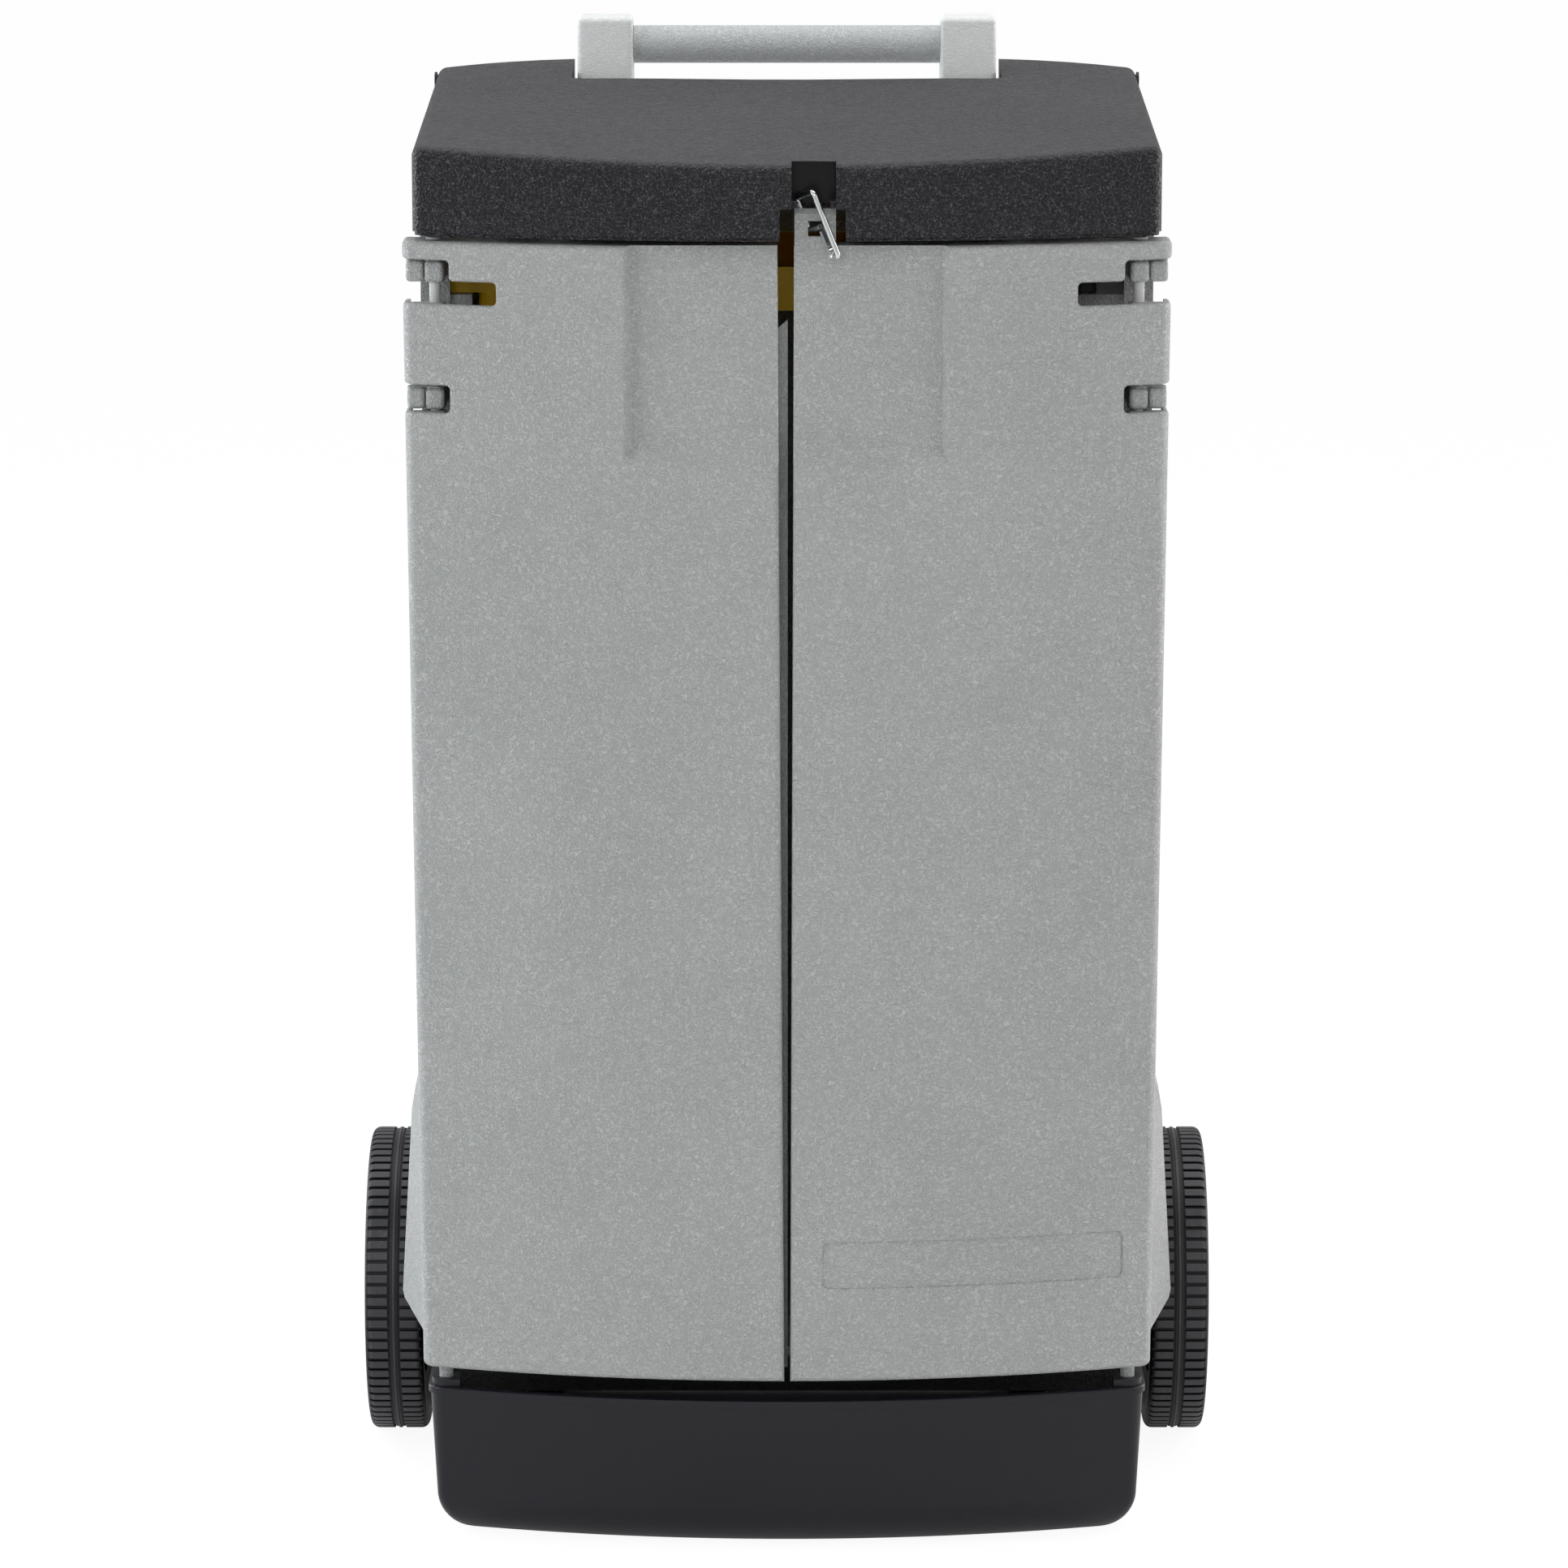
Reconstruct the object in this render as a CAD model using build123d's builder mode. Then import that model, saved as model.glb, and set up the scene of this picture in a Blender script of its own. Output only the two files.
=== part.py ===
from build123d import *
import os
from math import cos, radians, sin, sqrt

# Wheeled tool cabinet: a grey moulded cabinet with two bowed doors stands in a black base tub on
# two wheels, under a black lid that tips back round a pull-out handle.  A yellow tray and a ribbed
# bin lift out of the top.  X is across, the doors face -Y, Z is up and z = 0 is the ground.

# ---------------------------------------------------------------- driving dimensions, mm
BOW_RADIUS = 700.0              # plan radius shared by the doors, the lid and the tub
BOW_APEX_Y = -170.0             # foremost point of that bow
FIT = 0.08                      # radial clearance of a running fit
REST_GAP = 0.3                  # gap between pieces that lie on each other across a joint
OVERLAP = 1.0                   # how far a feature is sunk into the wall that carries it

CABINET_HALF = 195.0
CABINET_FRONT_Y = -108.0
CABINET_REAR_Y = 134.0
CABINET_TOP_Z = 731.0
CABINET_WALL = 4.0
CABINET_REAR_CORNER = 18.0
CABINET_SKIRT_Z = 76.0          # the shell reaches this far down inside the tub
FLOOR_Z = 98.0                  # underside of the cabinet floor
CHANNEL_HALF = 127.0            # rear channel that holds the pull-out handle
CHANNEL_FRONT_Y = 90.0
JAMB_INNER_X = CABINET_HALF - 11.0
JAMB_OUTER_X = CABINET_HALF + 5.0
JAMB_DEPTH = 8.0

FLARE_OUTLINE = (               # outward reach and height of a wheel flare's edge, from the top down
    (-2.0, 276.0), (4.0, 262.0), (16.0, 240.0), (18.7, 225.0),
    (26.3, 112.0), (25.2, 108.0), (1.5, 88.4), (-2.0, 88.4),
)
FLARE_FRONT_Y = -96.0
FLARE_REAR_Y = -14.0
FLARE_REACH = 31.0

HINGE_X = CABINET_HALF - 4.0    # upright axis of each door
HINGE_Y = -131.0
ROD_RADIUS = 3.0
ROD_BOTTOM_Z = 602.0
ROD_HEAD_RADIUS = 4.6
ROD_HEAD_THICK = 1.4
KNUCKLE_RADIUS = 6.0
LUG_HEIGHT = 11.5
UPPER_LUG_Z = 709.2
LOWER_LUG_Z = 639.8
LUG_LOBES = ((-4.9, 5.2, 7.0), (5.8, 15.5, 4.5))     # sides and front reach of its lobes, from the rod
LUG_ROUND = 2.4
LUG_COLLAR_RADIUS = 5.0
LUG_COLLAR_THICK = 0.8
PEG_RADIUS = 4.0
PEG_BOTTOM_Z = 77.0

DOOR_TOP_Z = 732.0
DOOR_BOTTOM_Z = 99.5
DOOR_TOP_HALF = CABINET_HALF + 13.5
DOOR_BOTTOM_HALF = CABINET_HALF + 8.5
DOOR_SKIN = 3.5
DOOR_CORNER = 8.0
DOOR_EDGE = 3.0                 # rounding all round a door's front
DOOR_HINGE_DEPTH_Y = -119.0     # rear edge of a door beside its hinge
DOOR_FREE_DEPTH_Y = -149.0      # rear edge of a door at the gap
LEFT_FREE_X = (-1.4, -5.2)      # free edge at the door's bottom and top
RIGHT_FREE_X = (1.8, 3.8)
DOOR_RIB = 2.5
DOOR_RIB_ZS = (225.0, 350.0, 475.0, 598.0)
LIP_OUT_X = 0.4                 # the left door's lip shows in the gap
LIP_TOP_Z = 686.0
LIP_THICK = 3.0

NOTCH_INNER_X = HINGE_X - 8.3    # the doors are notched round the cabinet's lugs
NOTCH_DEEP_X = HINGE_X - 34.0
NOTCH_STEP_Z = 710.6
NOTCH_BOTTOM_Z = 698.0
NOTCH_CLEARANCE = 1.2
NOTCH_CORNER = 2.5
NOTCH_EDGE = 2.0

RECESS_HALF = 84.0              # finger recess across both doors
RECESS_FLOOR_Y = -160.0
RECESS_DRAFT = 0.75             # sideways run of its walls for each mm of depth
RECESS_CENTRE_Z = 632.0
RECESS_SIDE_Z = 623.0
RECESS_RAMP = 2.0               # downward run of its ramp for each mm of depth

TONGUE_X = (4.0, 26.3)
TONGUE_TOP_Z = 751.6
TONGUE_FRONT_Y = -160.0
TONGUE_THICK = 4.0
TONGUE_CHAMFER = 2.5
SLOT_X = (11.3, 19.5)
SLOT_Z = (736.8, 745.2)

PLATE_ENDS = (19.5, DOOR_BOTTOM_HALF - 16.5)      # bare name recess between the gap and the hinge
PLATE_Z = 166.5
PLATE_HEIGHT = 27.0
PLATE_DEPTH = 0.7
PLATE_CORNER = 4.0

TUB_HALF = CABINET_HALF + 5.0
TUB_RIM_Z = 88.0
TUB_REAR_Y = 138.6
TUB_WALL = 3.5
TUB_INSET = 2.0                 # the tub stands this far behind the doors' bow
TUB_TAPER = 3.0                 # degrees
TUB_BOTTOM_RADIUS = 25.0
TUB_FRONT_CORNER = 10.0
TUB_REAR_CORNER = 21.0
BEAD_PROUD = 1.0
BEAD_HEIGHT = 4.0
SOCKET_TOP_Z = 92.0
SOCKET_WIDTH = 16.0
SOCKET_DEPTH = 18.0
BOSS_X = CABINET_HALF - 55.0
BOSS_Y = 62.0
BOSS_MIDDLE_Y = -8.0
BOSS_RADIUS = 9.0
SCREW_RADIUS = 2.5
SCREW_HEAD_RADIUS = 4.6
SCREW_HEAD_THICK = 3.0
SCREW_SEAT_Z = 86.0

AXLE_Y = 81.0
AXLE_Z = 89.0
AXLE_RADIUS = 6.35
AXLE_BOSS_RADIUS = 12.0
WHEEL_RADIUS = 89.0
WHEEL_WIDTH = 33.6
WHEEL_CENTRE_X = TUB_HALF + 28.2
AXLE_HALF = WHEEL_CENTRE_X + 17.0
TREAD_THICK = 11.0
WHEEL_SHOULDER = 4.5
WEB_THICK = 6.0
HUB_RADIUS = 17.0
HUB_INNER_X = WHEEL_CENTRE_X - 24.8
HUB_OUTER_X = WHEEL_CENTRE_X + 14.6
WHEEL_RIBS = 6
WHEEL_RIB_THICK = 5.0
BUSH_RADIUS = 9.0
LUG_COUNT = 84                  # tread lugs on each half of a wheel
LUG_GROOVE = 2.2
LUG_GROOVE_DEPTH = 1.5
TREAD_BAND = 3.6                # half width of the plain middle band
BAND_GROOVE = 1.4
SEAM_HALF = 0.6
WASHER_RADIUS = 12.0
WASHER_THICK = 1.6
HUB_CAP_RADIUS = 11.0
HUB_CAP_DOME = 3.5
HUB_CAP_TAPER = 30.0            # degrees

LID_HALF = CABINET_HALF + 7.6
LID_REAR_Y = 144.0
LID_SKIRT_Z = 737.0
LID_LIP_Z = 735.0
LID_LIP_INSET = 1.2
LID_WALL = 3.0
LID_TOP_EDGE = 6.0
LID_FRONT_CORNER = 8.0
CREASE_CENTRE_Z = 775.5         # the top's height is set along its front crease and its rear edge
CREASE_SHOULDER_Z = 779.6
CREASE_CORNER_Z = 781.7
REAR_CENTRE_Z = 804.4
REAR_SHOULDER_Z = 802.6
REAR_CORNER_Z = 798.6
SHOULDER_X = LID_HALF - 37.5
LID_CEILING = REAR_CENTRE_Z + 4 * LID_TOP_EDGE
LID_NOTCH_HALF = 123.0
LID_NOTCH_Y = 80.0
LID_NOTCH_CORNER = 6.0
LID_AXIS_Y = 136.0
LID_AXIS_Z = 793.0
LID_PIN_RADIUS = 3.0
LID_PIN_HEAD = 1.5
EAR_RADIUS = 5.2
EAR_INNER_X = 140.0
EAR_OUTER_X = CABINET_HALF - 30.0
EAR_FOOT_Z = 690.0

NICHE_X = (2.4, 26.3)           # hasp niche in the lid's front
NICHE_TOP_Z = 777.0
NICHE_BAR_Z = (753.0, 756.4)
NICHE_BAR_Y = -164.5
NICHE_BACK_Y = -146.5
NICHE_GAP_X = (5.2, 23.4)       # break in its bar that the snap hook passes through
SKIRT_NOTCH_X = (-4.0, 31.5)
SKIRT_NOTCH_TOP_Z = 752.4

TUBE_RADIUS = 9.5
TUBE_BORE = 8.0
TUBE_BOTTOM_Z = 150.0
TUBE_TOP_Z = 812.0
POST_X = 104.2
POST_Y = 115.0
POST_WIDTH = 33.4
POST_DEPTH = 30.0
POST_BOTTOM_Z = TUBE_TOP_Z - 71.0
POST_TOP_Z = TUBE_TOP_Z + 20.0
POST_TAPER = 0.6                # degrees
POST_CORNER = 4.0
GRIP_RADIUS = 10.8
GRIP_Z = TUBE_TOP_Z + 3.5
GRIP_TENON = 8.0
UPPER_GUIDE_Z = 708.0
LOWER_GUIDE_Z = 478.0
GUIDE_HEIGHT = 32.0
GUIDE_HALF = 120.0
GUIDE_DEPTH = 41.0
PLUG_RADIUS = 12.0
PLUG_HEIGHT = 18.0

LEDGE_TOP_Z = 698.7
LEDGE_THICK = 6.0
LEDGE_INNER_X = CABINET_HALF - 23.0
BIN_LEDGE_INNER_X = CABINET_HALF - 43.0
BRACKET_X = 99.0                # bracket under the meeting ends of the tray and the bin
BRACKET_THICK = 3.5
BRACKET_FOOT_Z = 560.0
TRAY_BOTTOM_Z = 689.0
TRAY_TOP_Z = 713.0
TRAY_X = (7.0 - CABINET_HALF, 98.0)
TRAY_LOWER_X = 26.0 - CABINET_HALF           # left end of the tray's lower step, between the ledges
TRAY_FRONT_Y = -100.0
TRAY_REAR_Y = 66.0
TRAY_WALL = 2.5
TRAY_CORNER = 8.0
TRAY_DIVIDER_XS = (-78.0, 10.0)
BIN_X = (105.0, CABINET_HALF - 25.5)
BIN_TOP_Z = 735.0
BIN_WALL = 2.4
BIN_CORNER = 5.0
BIN_RIB_PITCH = 5.0
BIN_RIB_PROUD = 0.8

WIRE_RADIUS = 1.6               # snap hook
GATE_RADIUS = 1.1
RIVET_RADIUS = 0.9
HOOK_LEAN = 22.0                # degrees from upright, seen from the front
HOOK_TIP = 4.0                  # degrees that its lower end stands forward
HOOK_TURN = 38.0                # degrees that its loop is turned from front-to-back
HOOK_TOP = 19.0                 # centre line above the slot
HOOK_BOTTOM = -18.5             # centre line below the slot
HOOK_BACK = -5.6                # centre line behind the middle of the tongue
HOOK_FRONT = 10.5               # centre line in front of the middle of the tongue
HOOK_NOSE = 5.6                 # end of the nose in front of the middle of the tongue
HOOK_BEND = 2.4
GATE_X = 4.6                    # centre line of the gate in front of the middle of the tongue
GATE_FOOT = -14.5               # rivet below the slot
GATE_HEAD = -2.3                # end of the gate under the nose


# ---------------------------------------------------------------- shared helpers
def bow_y(x, inset=0.0):
    """Front-to-back place of the shared bow, moved inwards by inset."""
    return BOW_APEX_Y + BOW_RADIUS - sqrt((BOW_RADIUS - inset) ** 2 - x * x)


def bowed_outline(x_left, x_right, y_left, y_right, inset=0.0):
    """Closed face with the bow in front, straight sides and a straight back."""
    middle = (x_left + x_right) / 2
    with BuildSketch() as outline:
        with BuildLine():
            ThreePointArc(
                (x_left, bow_y(x_left, inset)),
                (middle, bow_y(middle, inset)),
                (x_right, bow_y(x_right, inset)),
            )
            Polyline(
                (x_right, bow_y(x_right, inset)),
                (x_right, y_right),
                (x_left, y_left),
                (x_left, bow_y(x_left, inset)),
            )
        make_face()
    return outline.sketch


def raised(sketch, z):
    return sketch.moved(Location((0, 0, z)))


def write(piece, name):
    piece.part.label = name
    export_step(piece.part, f"parts/{name}.step")


UP = (0, 0, 1)
SIDES = (("left", -1), ("right", 1))
STANDING = (Align.CENTER, Align.CENTER, Align.MIN)
os.makedirs("parts", exist_ok=True)


# ---------------------------------------------------------------- cabinet shell
def cabinet_outline(inset):
    """Plan of the cabinet, with the handle channel in its back, moved inwards by inset."""
    half = CABINET_HALF - inset
    front = CABINET_FRONT_Y + inset
    rear = CABINET_REAR_Y - inset
    channel = CHANNEL_HALF + inset
    channel_front = CHANNEL_FRONT_Y - inset
    with BuildSketch() as outline:
        with BuildLine():
            Polyline(
                (-half, front), (half, front), (half, rear), (channel, rear),
                (channel, channel_front), (-channel, channel_front), (-channel, rear), (-half, rear),
                close=True,
            )
        make_face()
        rear_row = outline.vertices().group_by(Axis.Y)[-1].sort_by(Axis.X)
        fillet((rear_row[0], rear_row[-1]), radius=CABINET_REAR_CORNER - inset)
    return outline.sketch


def flare_form(side, inset):
    """Wheel flare: widens downwards, and rearwards towards the wheel."""
    rear_y = FLARE_REAR_Y + inset
    wall_x = side * (CABINET_HALF - OVERLAP - inset)
    with BuildPart() as form:
        with BuildSketch(Plane.XZ.offset(-rear_y)):
            with BuildLine():
                Polyline(*[(side * (CABINET_HALF + reach - inset), z - inset / 2) for reach, z in FLARE_OUTLINE], close=True)
            make_face()
        extrude(amount=rear_y - FLARE_FRONT_Y)
        with BuildSketch():
            with BuildLine():
                Polyline(
                    (wall_x, FLARE_FRONT_Y),
                    (side * (CABINET_HALF + FLARE_REACH - inset), rear_y),
                    (wall_x, rear_y),
                    close=True,
                )
            make_face()
        extrude(amount=CABINET_TOP_Z, mode=Mode.INTERSECT)
    return form.part


def door_lug(side, foot_z):
    """Lug with two rounded lobes that reaches forward from the jamb to the hinge rod."""
    root_y = CABINET_FRONT_Y + OVERLAP
    inner_x, outer_x = HINGE_X + LUG_LOBES[0][0], HINGE_X + LUG_LOBES[1][1]
    with BuildPart() as lug:
        for low, high, reach in LUG_LOBES:
            with BuildPart(mode=Mode.PRIVATE) as lobe:
                with Locations((side * (HINGE_X + (low + high) / 2), HINGE_Y - reach, foot_z)):
                    Box(high - low, reach + KNUCKLE_RADIUS, LUG_HEIGHT, align=(Align.CENTER, Align.MIN, Align.MIN))
                lobe_edges = lobe.edges().filter_by(lambda e: e.center().Y < HINGE_Y + KNUCKLE_RADIUS - OVERLAP)
                fillet(lobe_edges, radius=LUG_ROUND)
            add(lobe)
        with BuildSketch(Plane.XY.offset(foot_z)):
            with BuildLine():
                Polyline(
                    (side * inner_x, root_y),
                    (side * inner_x, HINGE_Y),
                    (side * (outer_x - LUG_ROUND), HINGE_Y),
                    (side * outer_x, HINGE_Y + LUG_ROUND),
                    (side * outer_x, HINGE_Y + KNUCKLE_RADIUS),
                    (side * JAMB_OUTER_X, root_y),
                    close=True,
                )
            make_face()
        extrude(amount=LUG_HEIGHT)
        with Locations((side * HINGE_X, HINGE_Y, foot_z)):
            Cylinder(LUG_COLLAR_RADIUS, LUG_HEIGHT + LUG_COLLAR_THICK, align=STANDING)
            Cylinder(ROD_RADIUS, LUG_HEIGHT + LUG_COLLAR_THICK, align=STANDING, mode=Mode.SUBTRACT)
    return lug.part


def lid_ear():
    """Side view of the ear that carries the lid's hinge pin."""
    with BuildSketch(Plane.YZ) as ear:
        with Locations((LID_AXIS_Y, LID_AXIS_Z)):
            Circle(EAR_RADIUS)
        with BuildLine():
            Polyline(
                (LID_AXIS_Y - EAR_RADIUS, LID_AXIS_Z),
                (LID_AXIS_Y - EAR_RADIUS, EAR_FOOT_Z),
                (CABINET_REAR_Y - OVERLAP, EAR_FOOT_Z),
                (LID_AXIS_Y + EAR_RADIUS, EAR_FOOT_Z + 4 * EAR_RADIUS),
                (LID_AXIS_Y + EAR_RADIUS, LID_AXIS_Z),
                close=True,
            )
        make_face()
        with Locations((LID_AXIS_Y, LID_AXIS_Z)):
            Circle(LID_PIN_RADIUS + FIT, mode=Mode.SUBTRACT)
    return ear.sketch


with BuildPart() as cabinet_shell:
    room_z = FLOOR_Z + CABINET_WALL
    room_height = CABINET_TOP_Z - room_z
    extrude(raised(cabinet_outline(0), CABINET_SKIRT_Z), CABINET_TOP_Z - CABINET_SKIRT_Z, dir=UP)
    extrude(raised(cabinet_outline(CABINET_WALL), room_z), room_height, dir=UP, mode=Mode.SUBTRACT)
    with BuildSketch(Plane.XY.offset(room_z)):
        with Locations((0, CABINET_FRONT_Y)):
            Rectangle(2 * (CABINET_HALF - CABINET_WALL), 3 * CABINET_WALL)
    extrude(amount=room_height, mode=Mode.SUBTRACT)
    underside = raised(cabinet_outline(CABINET_WALL), CABINET_SKIRT_Z)
    extrude(underside, FLOOR_Z - CABINET_SKIRT_Z, dir=UP, mode=Mode.SUBTRACT)

    with BuildSketch(Plane.XY.offset(FLOOR_Z)):
        with Locations((0, CABINET_FRONT_Y)):
            with GridLocations(JAMB_INNER_X + JAMB_OUTER_X, 0, 2, 1):
                Rectangle(JAMB_OUTER_X - JAMB_INNER_X, JAMB_DEPTH, align=(Align.CENTER, Align.MIN))
    extrude(amount=CABINET_TOP_Z - FLOOR_Z)

    ledge_length = CHANNEL_FRONT_Y - CABINET_FRONT_Y - 2 * OVERLAP
    with BuildSketch(Plane.XY.offset(LEDGE_TOP_Z - LEDGE_THICK)):
        with Locations((OVERLAP - CABINET_HALF, CABINET_FRONT_Y + OVERLAP)):
            Rectangle(CABINET_HALF - OVERLAP - LEDGE_INNER_X, ledge_length, align=(Align.MIN, Align.MIN))
        with Locations((CABINET_HALF - OVERLAP, CABINET_FRONT_Y + OVERLAP)):
            Rectangle(CABINET_HALF - OVERLAP - BIN_LEDGE_INNER_X, ledge_length, align=(Align.MAX, Align.MIN))
    extrude(amount=LEDGE_THICK)

    bracket_front_y = TRAY_FRONT_Y + 2 * BRACKET_THICK
    for low_x, top_z in (
        (BRACKET_X - BRACKET_THICK, TRAY_BOTTOM_Z - REST_GAP),
        (BRACKET_X + BRACKET_THICK, LEDGE_TOP_Z),
    ):
        with BuildSketch(Plane.YZ.offset(low_x)):
            with BuildLine():
                Polyline(
                    (CHANNEL_FRONT_Y - OVERLAP, BRACKET_FOOT_Z),
                    (CHANNEL_FRONT_Y - OVERLAP, top_z),
                    (bracket_front_y, top_z),
                    (bracket_front_y, TRAY_BOTTOM_Z - 4 * BRACKET_THICK),
                    close=True,
                )
            make_face()
        extrude(amount=2 * BRACKET_THICK)

    for _, side in SIDES:
        for lug_z in (UPPER_LUG_Z, LOWER_LUG_Z):
            add(door_lug(side, lug_z))
        ear_x = min(side * EAR_INNER_X, side * EAR_OUTER_X)
        extrude(lid_ear().moved(Location((ear_x, 0, 0))), EAR_OUTER_X - EAR_INNER_X, dir=(1, 0, 0))
        add(flare_form(side, 0.0))
        add(flare_form(side, CABINET_WALL), mode=Mode.SUBTRACT)

    with BuildSketch(Plane.YZ):
        with Locations((AXLE_Y, AXLE_Z)):
            Circle(AXLE_BOSS_RADIUS)
    extrude(amount=CABINET_HALF - OVERLAP, both=True)
    with BuildSketch(Plane.YZ):
        with Locations((AXLE_Y, AXLE_Z)):
            Circle(AXLE_RADIUS)
    extrude(amount=CABINET_HALF + OVERLAP, both=True, mode=Mode.SUBTRACT)
    with Locations((0, BOSS_MIDDLE_Y, FLOOR_Z)):
        with GridLocations(2 * BOSS_X, 2 * BOSS_Y, 2, 2):
            Cylinder(SCREW_RADIUS, CABINET_WALL, align=STANDING, mode=Mode.SUBTRACT)
    with BuildSketch(Plane.XZ.offset(-CHANNEL_FRONT_Y)):
        for guide_z in (UPPER_GUIDE_Z, LOWER_GUIDE_Z):
            with Locations((0, guide_z + GUIDE_HEIGHT / 2)):
                with GridLocations(POST_X, 0, 2, 1):
                    Circle(SCREW_RADIUS)
    extrude(amount=CABINET_WALL, mode=Mode.SUBTRACT)
write(cabinet_shell, "cabinet_shell")


# ---------------------------------------------------------------- doors
def door_section(side, free_x, z, inset, rear_y):
    """Plan of a door at one height: bowed front, straight outer edge, slanting open back."""
    share = (z - DOOR_BOTTOM_Z) / (DOOR_TOP_Z - DOOR_BOTTOM_Z)
    outer = side * (DOOR_BOTTOM_HALF + (DOOR_TOP_HALF - DOOR_BOTTOM_HALF) * share - inset)
    free = free_x[0] + (free_x[1] - free_x[0]) * share + side * inset
    outer_end, free_end = DOOR_HINGE_DEPTH_Y + rear_y, DOOR_FREE_DEPTH_Y + rear_y
    if side < 0:
        outline = bowed_outline(outer, free, outer_end, free_end, inset)
    else:
        outline = bowed_outline(free, outer, free_end, outer_end, inset)
    return raised(outline, z)


def knuckle_plan(side):
    """Barrel round the hinge rod, joined to the door's corner."""
    with BuildSketch() as plan:
        with Locations((side * HINGE_X, HINGE_Y)):
            Circle(KNUCKLE_RADIUS)
        with Locations((side * (HINGE_X + KNUCKLE_RADIUS), HINGE_Y)):
            Rectangle(4 * KNUCKLE_RADIUS - DOOR_SKIN, 2 * KNUCKLE_RADIUS - OVERLAP, align=(Align.CENTER, Align.MAX))
    return plan.sketch


def notch_outline(side):
    """Front view of the two notches that clear the cabinet's lugs."""
    edge_x = side * (DOOR_TOP_HALF + DOOR_CORNER)
    upper_top = UPPER_LUG_Z + LUG_HEIGHT + NOTCH_CLEARANCE
    lower_bottom = LOWER_LUG_Z - NOTCH_CLEARANCE
    lower_top = LOWER_LUG_Z + LUG_HEIGHT + 2 * NOTCH_CLEARANCE
    with BuildSketch(Plane.XZ) as outline:
        with BuildLine():
            Polyline(
                (edge_x, NOTCH_BOTTOM_Z),
                (side * NOTCH_DEEP_X, NOTCH_BOTTOM_Z),
                (side * NOTCH_DEEP_X, NOTCH_STEP_Z),
                (side * NOTCH_INNER_X, NOTCH_STEP_Z),
                (side * NOTCH_INNER_X, upper_top),
                (edge_x, upper_top),
                close=True,
            )
        make_face()
        with BuildLine():
            Polyline(
                (edge_x, lower_bottom),
                (side * NOTCH_INNER_X, lower_bottom),
                (side * NOTCH_INNER_X, lower_top),
                (edge_x, lower_top),
                close=True,
            )
        make_face()
        inner = outline.vertices().filter_by(lambda v: abs(v.X) < DOOR_TOP_HALF)
        fillet(inner, radius=NOTCH_CORNER)
    return outline.sketch


def recess_form():
    """Finger recess: flat floor, slanting side walls and a ramp that is lower at the middle."""
    reach = BOW_APEX_Y - OVERLAP - RECESS_FLOOR_Y
    top_z = DOOR_TOP_Z + DOOR_CORNER
    with BuildPart() as form:
        for depth in (0.0, -reach):
            half = RECESS_HALF + depth * RECESS_DRAFT
            drop = depth * RECESS_RAMP
            with BuildSketch(Plane.XZ.offset(depth - RECESS_FLOOR_Y)):
                with BuildLine():
                    Polyline(
                        (-half, top_z),
                        (-half, RECESS_SIDE_Z - drop),
                        (0, RECESS_CENTRE_Z - drop),
                        (half, RECESS_SIDE_Z - drop),
                        (half, top_z),
                        close=True,
                    )
                make_face()
        loft(ruled=True)
    return form.part


def is_notch_edge(edge):
    middle = edge.center()
    return abs(middle.X) > NOTCH_DEEP_X - OVERLAP and LOWER_LUG_Z - LUG_HEIGHT < middle.Z < DOOR_TOP_Z - OVERLAP


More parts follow.
